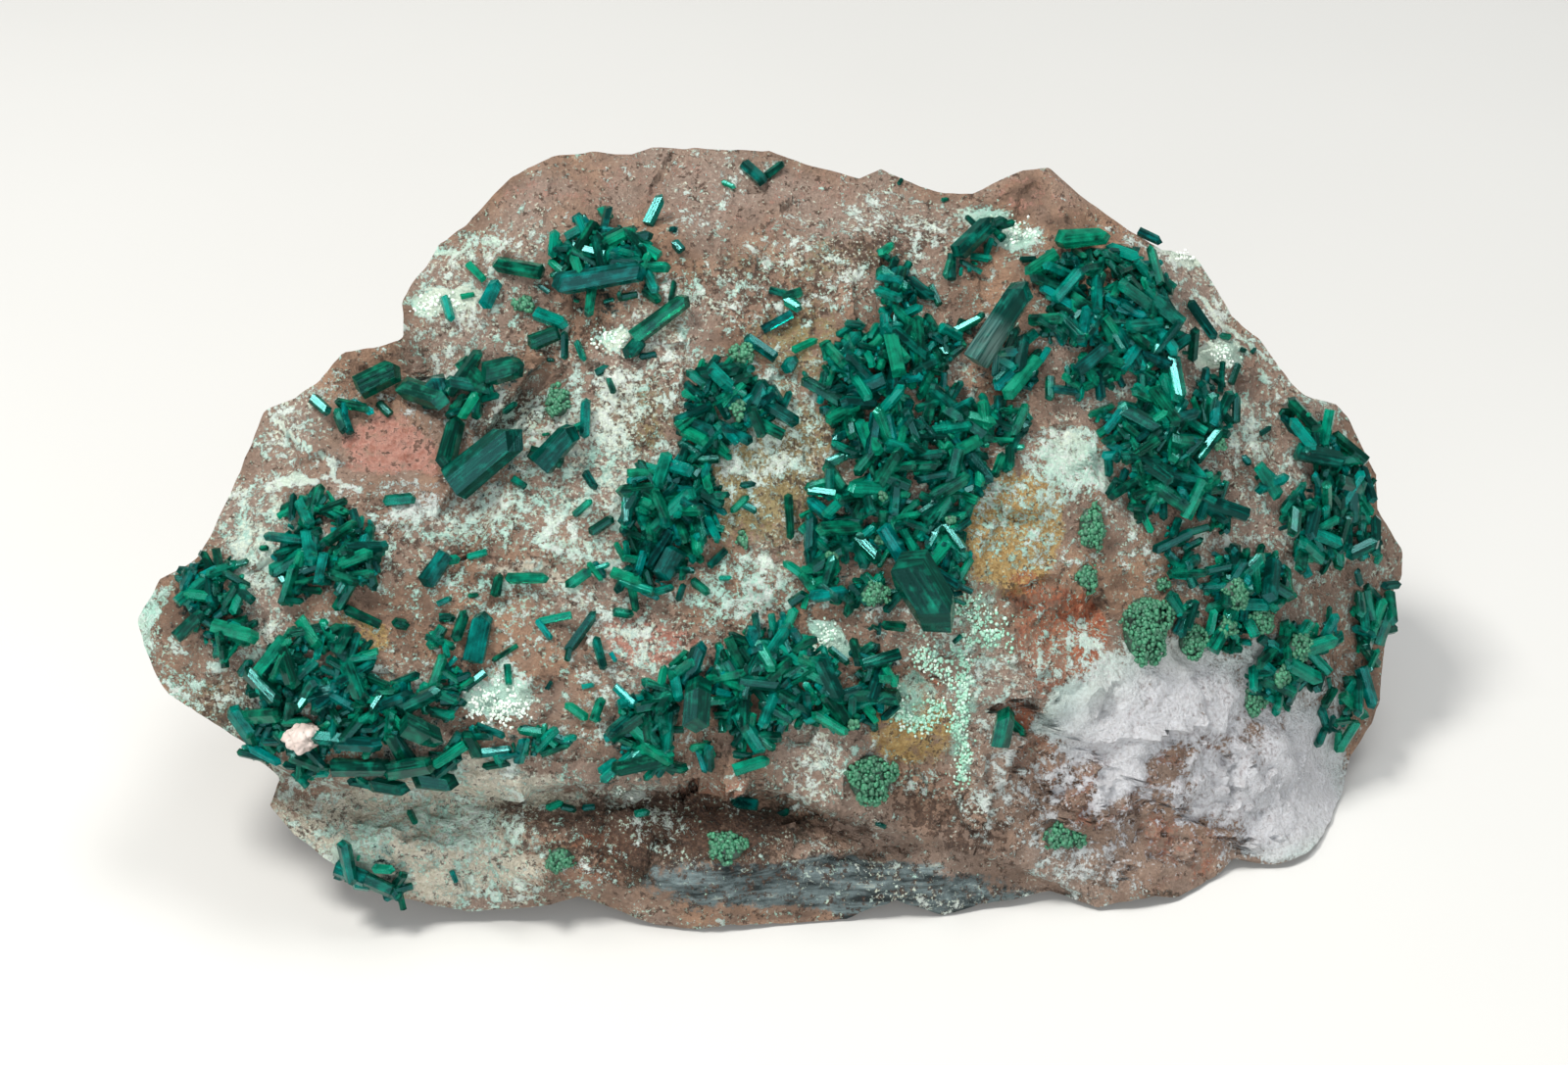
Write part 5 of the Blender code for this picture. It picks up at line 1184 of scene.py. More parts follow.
def dioptase_material(settings):
    """Dioptase: a glassy copper silicate, deep teal where thick. Faces seen edge-on get a painted glow of
    bright teal, standing in for light through thin edges. Fine lines run along its sides, and one prism has a
    worn grey patch."""
    material, tree, shader, output = new_material("dioptase_crystal")
    tone = add_node(tree, "ShaderNodeAttribute", output="Fac", attribute_name="tone")
    blue = add_node(tree, "ShaderNodeAttribute", output="Fac", attribute_name="blue")
    sides = add_node(tree, "ShaderNodeUVMap", uv_map="faces")
    laid = add_node(tree, "ShaderNodeTexCoord", output="Object")
    cloud = add_node(tree, "ShaderNodeTexNoise", {"Vector": laid, "Scale": 1 / CLOUD_SIZE, "Detail": 4.0})
    drawn = add_node(tree, "ShaderNodeMapping", {"Vector": sides, "Scale": (1.0, LINE_STRETCH, 1.0)})
    lines = add_node(tree, "ShaderNodeTexNoise", {"Vector": drawn, "Scale": LINES_PER_MM, "Detail": 4.0})
    clouded = add_node(tree, "ShaderNodeMath", {0: cloud, 1: 2.4, 2: -1.2}, operation="MULTIPLY_ADD")
    depth = add_node(tree, "ShaderNodeMath", {0: tone, 1: clouded}, operation="ADD", use_clamp=True)
    lined = add_node(tree, "ShaderNodeMath", {0: lines, 1: 1.6, 2: -0.8}, operation="MULTIPLY_ADD")
    depth = add_node(tree, "ShaderNodeMath", {0: depth, 1: lined}, operation="ADD", use_clamp=True)
    green = {0: depth, 6: settings.deep_colour, 7: settings.bright_colour}
    teal = {0: depth, 6: linear("022C2C"), 7: linear("00A09C")}
    green, teal = (add_node(tree, "ShaderNodeMix", inputs, **COLOUR_MIX) for inputs in (green, teal))
    colour = add_node(tree, "ShaderNodeMix", {0: blue, 6: green, 7: teal}, **COLOUR_MIX)
    # Painted glow: the more a face turns away from the view, the more bright teal is mixed in, standing in
    # for light shining through thin edges
    facing = add_node(tree, "ShaderNodeLayerWeight", {"Blend": 0.35}, output="Facing")
    edge = add_node(tree, "ShaderNodeMath", {0: facing, 1: 0.3}, operation="MULTIPLY")
    colour = add_node(tree, "ShaderNodeMix", {0: edge, 6: colour, 7: linear("08A88C")}, **COLOUR_MIX)
    worn = np.array([WORN_SIGHT], dtype=float)
    middle = place(worn, face_height(worn) + WORN_HEIGHT)[0]
    away = add_node(tree, "ShaderNodeVectorMath", {0: laid, 1: middle}, output="Value", operation="DISTANCE")
    near = add_node(tree, "ShaderNodeMath", {0: away, 1: -1 / WORN_REACH, 2: 1.0}, **CLAMPED_SUM)
    scratches = add_node(tree, "ShaderNodeMath", {0: lines, 1: 5.0, 2: -1.9}, **CLAMPED_SUM)
    scuffed = add_node(tree, "ShaderNodeMath", {0: near, 1: scratches}, operation="MULTIPLY", use_clamp=True)
    colour = add_node(tree, "ShaderNodeMix", {0: scuffed, 6: colour, 7: linear("8FA39C")}, **COLOUR_MIX)
    glassy = add_node(tree, "ShaderNodeMath", {0: cloud, 1: 0.25, 2: 0.02}, **CLAMPED_SUM)
    rough = add_node(tree, "ShaderNodeMath", {0: near, 1: 0.8, 2: glassy}, **CLAMPED_SUM)
    relief = add_node(tree, "ShaderNodeBump", {"Height": lines, "Strength": 0.3, "Distance": LINE_RELIEF})
    tree.links.new(colour, shader.inputs["Base Color"])
    tree.links.new(relief, shader.inputs["Normal"])
    tree.links.new(rough, shader.inputs["Roughness"])
    shader.inputs["IOR"].default_value = 1.67
    shader.inputs["Specular IOR Level"].default_value = 0.3
    shader.inputs["Specular Tint"].default_value = (0.15, 0.5, 0.48, 1.0)
    shader.inputs["Transmission Weight"].default_value = 0.58
    inside_colour = {"Color": linear("00CDB2"), "Density": settings.absorption}
    absorb = add_node(tree, "ShaderNodeVolumeAbsorption", inside_colour)
    tree.links.new(absorb, output.inputs["Volume"])
    return material


def grain_material(name, dark, light, tips, grit):
    """Matt grains with a tone of their own, from dark to light, and with tips or specks of another
    colour where fine noise is high: malachite, chrysocolla and calcite."""
    material, tree, shader, _ = new_material(name)
    tone = add_node(tree, "ShaderNodeAttribute", output="Fac", attribute_name="tone")
    laid = add_node(tree, "ShaderNodeTexCoord", output="Object")
    fine = add_node(tree, "ShaderNodeTexNoise", {"Vector": laid, "Scale": 1 / grit.size, "Detail": 3.0})
    high = add_node(tree, "ShaderNodeMath", {0: fine, 1: 4.0, 2: -4 * grit.level}, **CLAMPED_SUM)
    colour = add_node(tree, "ShaderNodeMix", {0: tone, 6: dark, 7: light}, **COLOUR_MIX)
    colour = add_node(tree, "ShaderNodeMix", {0: high, 6: colour, 7: tips}, **COLOUR_MIX)
    relief = add_node(tree, "ShaderNodeBump", {"Height": fine, "Strength": 0.6, "Distance": grit.relief})
    tree.links.new(colour, shader.inputs["Base Color"])
    tree.links.new(relief, shader.inputs["Normal"])
    shader.inputs["Roughness"].default_value = grit.roughness
    shader.inputs["IOR"].default_value = grit.ior
    return material


def make_rock(settings):
    """The block of rock with all its relief and its stains."""
    surface = rock_surface(settings.columns, settings.rows, settings.rings)
    points, quads, triangles, sights, rim, depths = surface
    material = rock_material(settings)
    rock = new_piece("matrix_rock", points, quads, triangles, material)
    normals = vertex_normals(rock.data)
    places = points - ORIGIN_SHIFT
    outward = (places[len(sights):] - BLOCK_MIDDLE) / BLOCK_HALF_SIZE**2
    normals[len(sights):] = outward / np.linalg.norm(outward, axis=1, keepdims=True)
    away = np.clip(normals @ SIGHT_FORWARD, 0, 1)
    lumps = sum(noise(places, size, seed) * height for size, height, seed in ROCK_LUMPS)
    grain = sum(noise(places, size, seed) * height for size, height, seed in ROCK_GRAIN)
    warp = np.stack([noise(places, WARP_SIZE, WARP_SEED + axis) for axis in range(3)], axis=-1) * WARP_REACH
    count = len(sights)
    shifts = [
        sum(noise(places[:count], size, STAIN_SEED + axis) * reach for size, reach in STAIN_WARPS)
        for axis in (0, 1)
    ]
    warped = sights + np.stack(shifts, axis=-1)
    masks = {name: np.zeros(len(points)) for name in STAINS}
    for name, stains in STAINS.items():
        masks[name][:count] = stain_mask(warped, stains, STAIN_SOFTNESS.get(name, STAIN_EDGE))
    broken = np.ones(len(points))
    broken[:count] = np.clip(stain_mask(warped, STAINS["rust"]) + FACET_LEAST, 0, 1)
    broken[:count] *= 1 - masks["slick"][:count]
    offsets = sights - ROCK_MIDDLE
    share = np.hypot(*offsets.T) / rim_radius(np.arctan2(offsets[:, 1], offsets[:, 0]))
    ramp = soft_step(depths / RIM_RAMP)
    steady = RIM_CALM + (1 - RIM_CALM) * ramp
    steady[:count] = 1 - (1 - RIM_CALM) * soft_step((share - RIM_CALM_START) / RIM_CALM_SPAN)
    cracks = sum(facets(places + warp, *facet) for facet in ROCK_FACETS) * broken * steady
    size, height, seed = STRIPES
    stripes = noise(places * STRIPE_STRETCH + warp * STRIPE_WARP, size, seed) * height * masks["slick"]
    smooth = 1 - SALMON_SMOOTHNESS * masks["salmon"]
    size, height, seed = PALE_RELIEF
    raised = height * masks["pale"] * np.abs(noise(places, size, seed))
    edge = 1 - ramp
    edge[:count] = soft_step((share - RIM_EDGE_START) / RIM_EDGE_SPAN)
    facing = np.clip(-(normals @ SIGHT_FORWARD), RIM_LEAST_FACING, 1) * edge
    outward = normals * (1 - edge)[:, None] - SIGHT_FORWARD * facing[:, None]
    coarse = lumps * (1 + BACK_ROUGHNESS * away * ramp) + cracks
    fine = grain * smooth * np.sqrt(steady) + stripes + raised
    points = points + outward * coarse[:, None] + normals * fine[:, None]
    behind_rim(points, rim, count)
    points[:, 2] = np.maximum(points[:, 2], 0.0)
    rock.data.vertices.foreach_set("co", points.astype(np.float32).ravel())
    rock.data.update()
    speckle = np.full(len(points), BACK_SPECKLE)
    speckle[:count] = BASE_SPECKLE
    masks["pale"] = np.maximum(masks["pale"], speckle)
    # The painted shade of small pits lies everywhere at least at its base strength
    masks["pit_shade"] = np.maximum(masks["pit_shade"], BASE_PIT_SHADE)
    masks["pale"] *= 1 - masks.pop("bare")
    for line in VEINS:
        side, past_end = beside(warped, line)
        vein = np.exp(-(side**2 + past_end**2) / VEIN_WIDTH**2)
        masks["pale"][:count] = np.maximum(masks["pale"][:count], vein)
    # Under each cluster, apart from its bare windows, the rock takes dark teal druse darkened to painted
    # shade
    masks["druse_and_shade"] = np.zeros(len(points))
    grown = window_noise(warped) > WINDOW_LEVEL
    for cluster in CLUSTERS:
        under = DRUSE_AND_SHADE_STRENGTH * (inside(cluster.outline, warped) & grown)
        masks["druse_and_shade"][:count] = np.maximum(masks["druse_and_shade"][:count], under)
    for name, mask in masks.items():
        point_values(rock.data, name, mask)
    rock.data.shade_smooth()
    rock.data.set_sharp_from_angle(angle=SHARP_ANGLE)
    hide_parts("matrix")
    return rock


def rock_seats(sights):
    """Where the lines of sight meet the finished rock."""
    rock = bpy.data.objects["matrix_rock"]
    surface = BVHTree.FromObject(rock, bpy.context.evaluated_depsgraph_get())
    bare = place(sights, face_height(sights))
    eye = EYE + ORIGIN_SHIFT
    seats = bare.copy()
    for number, point in enumerate(bare):
        hit = surface.ray_cast(Vector(eye), Vector(point - eye).normalized())[0]
        if hit is not None:
            seats[number] = hit
    return seats


def prism_points(lengths, widths, random):
    """Six-sided prisms along Z, each corner a little out of place, with the three sloping faces of a
    rhombohedron on both ends. Returns points for each prism, and its side and end quads."""
    count = len(lengths)
    corner = np.arange(6) * pi / 3 + random.uniform(-CORNER_SHAKE, CORNER_SHAKE, (count, 6))
    radius = widths[:, None] / 2 * random.uniform(*SIDE_RANGE, (count, 6))
    flat = random.uniform(*FLATNESS_RANGE, (count, 1))
    right = np.cos(corner) * radius
    back = np.sin(corner) * radius * flat
    fall = random.uniform(*TIP_FALL_RANGE, (count, 2)) * widths[:, None] / 2
    blunt = random.uniform(0, 1, (count, 2)) < BLUNT_SHARE
    fall = np.where(blunt, fall * BLUNT_FALL, fall)
    drop = np.where(np.arange(6) % 2 == 0, 1.0, 2.0)
    high = lengths[:, None] / 2 - fall[:, :1] * drop
    low = -lengths[:, None] / 2 + fall[:, 1:] * np.roll(drop, 1)
    taper = random.uniform(*TAPER_RANGE, (count, 1))
    bottom = np.stack([right, back, low], axis=-1)
    top = np.stack([right * taper, back * taper, high], axis=-1)
    ends = np.zeros((count, 2, 3))
    ends[:, 0, 2] = -lengths / 2
    ends[:, 1, 2] = lengths / 2
    sides = [(i, (i + 1) % 6, 6 + (i + 1) % 6, 6 + i) for i in range(6)]
    roots = [(12, (i + 2) % 6, (i + 1) % 6, i) for i in (1, 3, 5)]
    tips = [(13, 6 + i, 6 + (i + 1) % 6, 6 + (i + 2) % 6) for i in (0, 2, 4)]
    return np.concatenate([bottom, top, ends], axis=1), np.array(sides + roots + tips)


def make_prisms(name, crystals, standoff, seed, material):
    """A piece of prisms laid on the rock: each prism's axis follows its tilt in the sight along the
    face and leans off it, and it stands off the rock by a share of its width."""
    random = np.random.default_rng(seed)
    crystals = np.array(crystals, dtype=float)
    sights = crystals[:, :2]
    normals, scale = face_frames(sights)
    lengths = crystals[:, 2] * scale
    widths = crystals[:, 3] * scale
    tilt = np.radians(crystals[:, 4])[:, None]
    lean = np.radians(crystals[:, 5])[:, None]
    along = np.cos(tilt) * SIGHT_RIGHT + np.sin(tilt) * SIGHT_UP
    along = along - normals * np.sum(along * normals, axis=1, keepdims=True)
    along /= np.linalg.norm(along, axis=1, keepdims=True)
    axis = np.cos(lean) * along + np.sin(lean) * normals
    lift = standoff * widths[:, None] + 0.5 * lengths[:, None] * np.sin(np.abs(lean))
    middles = rock_seats(sights) + normals * lift
    side = np.cross(axis, normals)
    side /= np.linalg.norm(side, axis=1, keepdims=True)
    third = np.cross(axis, side)
    turn = random.uniform(0, pi / 3, (len(crystals), 1))
    large_turn = pi / 6 + (turn - pi / 6) * LARGE_TURN_SHARE
    turn = np.where(crystals[:, 3:4] >= LARGE_WIDTH, large_turn, turn)
    first = np.cos(turn) * side + np.sin(turn) * third
    second = np.cross(axis, first)
    shapes, faces = prism_points(lengths, widths, random)
    points = middles[:, None] + shapes[..., :1] * first[:, None] + shapes[..., 1:2] * second[:, None]
    points = (points + shapes[..., 2:] * axis[:, None]).reshape(-1, 3)
    points[:, 2] = np.maximum(points[:, 2], FLOOR_GAP)
    per_shape = shapes.shape[1]
    quads = (faces[None] + np.arange(len(crystals))[:, None, None] * per_shape).reshape(-1, 4)
    piece = new_piece(name, points, quads, np.zeros((0, 3), dtype=int), material)
    lay_faces(piece.data, shapes, faces, widths, random)
    piece.data.shade_flat()
    big = np.clip((widths - PALE_WIDTH) / (DARK_WIDTH - PALE_WIDTH), 0, 1)
    tone = np.clip(random.uniform(0.0, 1.0, len(crystals)) ** 2 * (1 - big), 0, 1)
    point_values(piece.data, "tone", np.repeat(tone, per_shape))
    point_values(piece.data, "blue", np.repeat(random.uniform(0, 1, len(crystals)) ** 2, per_shape))
    return piece


def lay_faces(mesh, shapes, faces, widths, random):
    """Lays every prism's sides side by side: millimetres round the prism, and millimetres along it."""
    count = len(shapes)
    step = widths / MM / 2
    start = random.uniform(0, LINE_SHIFT, count)
    round_shape = np.zeros((count, len(faces), 4))
    along_shape = shapes[:, faces, 2] / MM
    for number in range(len(faces)):
        offset = start + number * step
        round_shape[:, number] = offset[:, None] + np.array([0, 1, 1, 0]) * step[:, None]
    lay = np.stack([round_shape, along_shape], axis=-1).reshape(-1, 2)
    layer = mesh.uv_layers.new(name="faces")
    layer.data.foreach_set("uv", lay.astype(np.float32).ravel())


def fill_crystals(outline, filling, spacing, random):
    """Prisms of every tilt all over an outline, apart from its bare windows."""
    sights = scattered(outline, spacing, random)
    sights = sights[window_noise(sights) > WINDOW_LEVEL]
    count = len(sights)
    size = random.uniform(0, 1, count) ** SMALL_SHARE
    breadth = np.clip(size + random.uniform(-WIDTH_SPREAD, WIDTH_SPREAD, count), 0, 1)
    shortest, longest = filling.length
    narrowest, widest = filling.width
    return np.column_stack([
        sights, shortest + (longest - shortest) * size, narrowest + (widest - narrowest) * breadth,
        random.uniform(-180, 180, count), random.uniform(*filling.lean, count),
    ])


def covered(crystals, large):
    """Which crystals would stand on one of the large ones."""
    away = crystals[:, None, :2] - large[None, :, :2]
    turn = np.radians(large[:, 4])
    along = away[..., 0] * np.cos(turn) - away[..., 1] * np.sin(turn)
    across = away[..., 0] * np.sin(turn) + away[..., 1] * np.cos(turn)
    on_length = np.abs(along) < large[:, 2] / 2
    on_width = np.abs(across) < large[:, 3] / 2 + LARGE_MARGIN
    return np.any(on_length & on_width, axis=1)


def strays(cluster, random):
    """Single prisms just outside a cluster's outline."""
    outline = np.array(cluster.outline, dtype=float)
    middle = outline.mean(axis=0)
    wide = middle + (outline - middle) * STRAY_REACH
    crystals = fill_crystals(wide, STRAYS, STRAYS.spacing, random)
    return crystals[~inside(outline, crystals[:, :2])]


def make_crusts(settings):
    """The clusters: prisms of every tilt over each outline, and the larger ones in places of their own."""
    material = dioptase_material(settings)
    for cluster in CLUSTERS:
        random = np.random.default_rng(cluster.seed)
        filled = [
            fill_crystals(cluster.outline, filling, settings.spacing * filling.spacing, random)
            for filling in FILLINGS
        ]
        crystals = np.concatenate([*filled, strays(cluster, random)])
        chosen = np.array(cluster.crystals, dtype=float)
        crystals = crystals[~covered(crystals, chosen[chosen[:, 3] >= LARGE_WIDTH])]
        crystals = np.concatenate([chosen, crystals])
        name = cluster.name + "_prisms"
        piece = make_prisms(name, crystals, CLUSTER_STANDOFF, cluster.seed + CLUSTER_SEED, material)
        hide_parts(cluster.name)


def make_lone_prisms():
    """The crystals that stand alone on the rock."""
    material = bpy.data.materials["dioptase_crystal"]
    piece = make_prisms("dioptase_lone_prisms", LONE_CRYSTALS, LONE_STANDOFF, LONE_SEED, material)
    nodes = [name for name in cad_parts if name.startswith("dioptase_prism_")]
    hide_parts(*nodes)


def ball(rings, segments):
    """A unit ball's points, quads and end triangles, from its turned half circle."""
    polar = np.arange(1, rings) * pi / rings
    turn = np.arange(segments) * 2 * pi / segments
    polar, turn = np.meshgrid(polar, turn, indexing="ij")
    body = np.stack([np.sin(polar) * np.cos(turn), np.sin(polar) * np.sin(turn), np.cos(polar)], axis=-1)
    body = body.reshape(-1, 3)
    points = np.concatenate([body, [[0, 0, 1], [0, 0, -1]]])
    index = np.arange(len(body)).reshape(rings - 1, segments)
    after = np.roll(index, -1, axis=1)
    quads = np.stack([index[:-1], index[1:], after[1:], after[:-1]], axis=-1).reshape(-1, 4)
    top = np.stack([np.full(segments, len(body)), index[0], after[0]], axis=-1)
    bottom = np.stack([np.full(segments, len(body) + 1), after[-1], index[-1]], axis=-1)
    return points, quads, np.concatenate([top, bottom])


def make_mound(number, mound, settings, material):
    """A malachite mound: a low dome, and rounded grains set close together all over it."""
    random = np.random.default_rng(MOUND_SEED + number)
    sight = np.array([[mound.right, mound.down]], dtype=float)
    normals, scale = face_frames(sight)
    normal = normals[0]
    seat = rock_seats(sight)[0]
    if any(inside(cluster.outline, sight)[0] for cluster in CLUSTERS):
        seat = seat + normal * CRUST_THICKNESS
    across = SIGHT_RIGHT - normal * (SIGHT_RIGHT @ normal)
    across /= np.linalg.norm(across)
    up = np.cross(normal, across)
    half = np.array([mound.width, mound.height]) * scale[0] / 2
    rise = DOME_RISE * half.min()
    count = int(settings.grains_per_mm2 * pi * half[0] * half[1] / MM**2 * MOUND_CROWD)
    turn = random.uniform(0, 2 * pi, count)
    radius = np.sqrt(random.uniform(0, 1, count)) * MOUND_FILL
    wobble = 1 + MOUND_WAVE * np.sin(3 * turn + number) + MOUND_RIPPLE * np.sin(5 * turn + 2 * number)
    right = np.cos(turn) * radius * wobble
    above = np.sin(turn) * radius * wobble
    height = np.sqrt(np.clip(MOUND_TOP - radius**2, 0, 1)) * rise
    height = height + random.uniform(*MOUND_STANDOFF_RANGE, count) * rise
    centres = seat + (right * half[0])[:, None] * across + (above * half[1])[:, None] * up
    centres = centres + height[:, None] * normal
    size = random.uniform(*MOUND_GRAIN_RANGE, count) * MM
    shape, quads, triangles = ball(*GRAIN_BALL)
    halves = size[:, None] * random.uniform(*MOUND_GRAIN_FORM, (count, 3))
    grains = centres[:, None] + shape[None] * halves[:, None]
    dome_shape, dome_quads, dome_triangles = ball(*DOME_BALL)
    axes = np.stack([across * half[0] * DOME_SHARE, up * half[1] * DOME_SHARE, normal * rise * DOME_HEIGHT])
    dome = seat + dome_shape @ axes
    step = np.arange(count)[:, None, None] * len(shape)
    points = np.concatenate([grains.reshape(-1, 3), dome])
    base = count * len(shape)
    all_quads = np.concatenate([(quads[None] + step).reshape(-1, 4), dome_quads + base])
    all_triangles = np.concatenate([(triangles[None] + step).reshape(-1, 3), dome_triangles + base])
    name = mound.node or f"malachite_small_{number:02d}"
    piece = new_piece(name + "_grains", points, all_quads, all_triangles, material)
    grain_tone = random.uniform(*MOUND_TONE_RANGE, count)
    # The dome under the grains takes tone 0, the darkest green: painted shade in the gaps between grains
    tone = np.concatenate([np.repeat(grain_tone, len(shape)), np.zeros(len(dome))])
    point_values(piece.data, "tone", tone)
    piece.data.shade_smooth()
    if mound.node:
        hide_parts(mound.node)


def make_malachite(settings):
    """All the malachite mounds."""
    material = grain_material(
        "malachite_grains", linear("0C3322"), settings.malachite_colour, linear("50A87C"), MALACHITE_GRIT,
    )
    for number, mound in enumerate(MOUNDS):
        make_mound(number, mound, settings, material)


def make_pale_crusts():
    """The pale crusts: flattened grains strewn along lines on the rock, and one rounded pebble."""
    random = np.random.default_rng(CRUST_SEED)
    chrysocolla, calcite = (
        grain_material(name, linear(dark), linear(light), linear(specks), CRUST_GRIT)
        for name, dark, light, specks in (
            ("chrysocolla_crust", "86B9A0", "E4E9DF", "7FA08C"),
            ("calcite_pebble", "8F7C72", "CFC1B8", "5F6A5E"),
        )
    )
    sights = []
    white = []
    for crust in CRUSTS:
        line = np.array(crust.line, dtype=float)
        lengths = np.linalg.norm(np.diff(line, axis=0), axis=1)
        count = int(lengths.sum() * 2 * crust.half_width * CRUST_CROWD)
        along = random.uniform(0, lengths.sum(), count)
        marks = np.concatenate([[0], np.cumsum(lengths)])
        aside = random.normal(0, CRUST_SPREAD, (count, 2)) * crust.half_width
        on_line = [np.interp(along, marks, line[:, axis]) for axis in (0, 1)]
        sights.append(np.stack(on_line, axis=-1) + aside)
        white.append(np.clip(crust.white + random.normal(0, CRUST_TONE_SPREAD, count), 0, 1))
    sights = np.concatenate(sights)
    clumps = noise(np.column_stack([sights, np.zeros(len(sights))]), *CRUST_CLUMP)
    kept = clumps > random.uniform(*CRUST_KEPT_RANGE, len(sights))
    sights, white = sights[kept], np.concatenate(white)[kept]
    normals, _ = face_frames(sights)
    size = random.uniform(*CRUST_GRAIN_RANGE, len(sights)) * MM
    shape, quads, triangles = ball(*GRAIN_BALL)
    standoff = size * random.uniform(*CRUST_STANDOFF_RANGE, len(sights))
    centres = rock_seats(sights) + normals * standoff[:, None]
    half = size[:, None] * random.uniform(*CRUST_GRAIN_FORM, (len(sights), 3))
    points = (centres[:, None] + shape[None] * half[:, None]).reshape(-1, 3)
    points[:, 2] = np.maximum(points[:, 2], FLOOR_GAP)
    step = np.arange(len(sights))[:, None, None] * len(shape)
    quads = (quads[None] + step).reshape(-1, 4)
    triangles = (triangles[None] + step).reshape(-1, 3)
    piece = new_piece("pale_crusts", points, quads, triangles, chrysocolla)
    point_values(piece.data, "tone", np.repeat(white, len(shape)))
    piece.data.shade_smooth()
    right, down, width, height = PEBBLE
    sight = np.array([[right, down]], dtype=float)
    normal, scale = face_frames(sight)
    shape, quads, triangles = ball(*PEBBLE_BALL)
    axes = np.stack([SIGHT_RIGHT * width, SIGHT_UP * height, normal[0] * height * PEBBLE_DEPTH])
    axes = axes * scale[0] / 2
    lumps = 1 + sum(rise * noise(shape, size, seed) for rise, size, seed in PEBBLE_LUMPS)
    middle = rock_seats(sight)[0] + normal[0] * height * scale[0] * PEBBLE_STANDOFF
    points = middle + (shape * lumps[:, None]) @ axes
    pebble = new_piece("calcite_pebble", points, quads, triangles, calcite)
    contrast, size, seed = PEBBLE_PATCHES
    point_values(pebble.data, "tone", np.clip(PEBBLE_TONE + contrast * noise(shape, size, seed), 0, 1))
    pebble.data.shade_smooth()


def area_light(name, position, size, power, colour):
    """A soft rectangular light that points at the specimen and isn't seen itself."""
    light = bpy.data.lights.new(name, "AREA")
    light.shape = "RECTANGLE"
    light.size = size[0]
    light.size_y = size[1]
    light.energy = power
    light.color = colour
    made = bpy.data.objects.new(name, light)
    made.location = position
    made.visible_camera = False
    made.rotation_euler = (Vector(LIGHT_TARGET) - Vector(position)).to_track_quat("-Z", "Y").to_euler()
    bpy.context.scene.collection.objects.link(made)


def make_stage(settings):
    """A pale floor, soft studio light and the camera square to the face."""
    scene = bpy.context.scene
    material, tree, shader, _ = new_material("pale_floor")
    laid = add_node(tree, "ShaderNodeTexCoord", output="Object")
    inputs = {"Vector": laid, "Scale": 1 / FLOOR_CLOUD_SIZE, "Detail": 3.0}
    cloud = add_node(tree, "ShaderNodeTexNoise", inputs)
    shades = {0: cloud, 6: settings.floor_colour, 7: linear("C0BFBB")}
    tone = add_node(tree, "ShaderNodeMix", shades, **COLOUR_MIX)
    tree.links.new(tone, shader.inputs["Base Color"])
    shader.inputs["Roughness"].default_value = 0.6
    mesh = bpy.data.meshes.new("floor")
    signs = ((-1, -1), (1, -1), (1, 1), (-1, 1))
    corners = [(FLOOR_REACH * right, FLOOR_REACH * back, 0) for right, back in signs]
    mesh.from_pydata(corners, [], [(0, 1, 2, 3)])
    mesh.materials.append(material)
    floor = bpy.data.objects.new("floor", mesh)
    scene.collection.objects.link(floor)
    world = bpy.data.worlds.new("studio")
    world.use_nodes = True
    background = world.node_tree.nodes["Background"]
    background.inputs["Color"].default_value = SKY_COLOUR
    background.inputs["Strength"].default_value = settings.sky_strength
    scene.world = world
    for name, position, size, share, colour in LIGHTS:
        area_light(name, position, size, settings.key_power * share, colour)
    lens = bpy.data.cameras.new("camera")
    lens.sensor_width = SENSOR_WIDTH
    lens.lens = SIGHT_FOCAL / SIGHT_SIZE[0] * SENSOR_WIDTH
    lens.clip_start = 0.01
    camera = bpy.data.objects.new("camera", lens)
    turn = Matrix((SIGHT_RIGHT, SIGHT_UP, -SIGHT_FORWARD)).transposed().to_4x4()
    camera.matrix_world = Matrix.Translation(Vector(EYE + ORIGIN_SHIFT)) @ turn
    scene.collection.objects.link(camera)
    scene.camera = camera
    scene.view_settings.view_transform = "Standard"
    scene.view_settings.look = "None"


COLOUR = {"subtype": "COLOR", "min": 0, "max": 1}


class RockSettings(bpy.types.PropertyGroup):
    """Sizes and colours of the rock."""

    columns: bpy.props.IntProperty(name="Columns", description="Cells across the face", default=290, min=8)
    rows: bpy.props.IntProperty(name="Rows", description="Cells down the face", default=190, min=8)
    rings: bpy.props.IntProperty(
        name="Rings", description="Rings from the rim to the grid of the back", default=46, min=3,
    )
    drift: bpy.props.FloatProperty(
        name="Drift", description="How far the pale dust gathers in drifts", default=0.8,
    )
    rock_colour: bpy.props.FloatVectorProperty(
        name="Rock", description="Colour of the bare rock", default=linear("B38F74"), **COLOUR,
    )


class CrystalSettings(bpy.types.PropertyGroup):
    """Sizes and colours of the dioptase."""

    spacing: bpy.props.FloatProperty(
        name="Spacing", description="Spacing of the small prisms in sight units", default=10.6, min=4,
    )
    absorption: bpy.props.FloatProperty(
        name="Absorption", description="How fast light fades in the crystal, per metre", default=650.0, min=0,
    )
    deep_colour: bpy.props.FloatVectorProperty(
        name="Deep", description="Colour of thick crystals", default=linear("05281C"), **COLOUR,
    )
    bright_colour: bpy.props.FloatVectorProperty(
        name="Bright", description="Colour of thin crystals", default=linear("0BA47A"), **COLOUR,
    )


class MalachiteSettings(bpy.types.PropertyGroup):
    """Sizes and colours of the malachite."""

    grains_per_mm2: bpy.props.FloatProperty(
        name="Grains", description="Grains on each square millimetre", default=7.0, min=0.1,
    )
    malachite_colour: bpy.props.FloatVectorProperty(
        name="Malachite", description="Colour of the grains", default=linear("257550"), **COLOUR,
    )


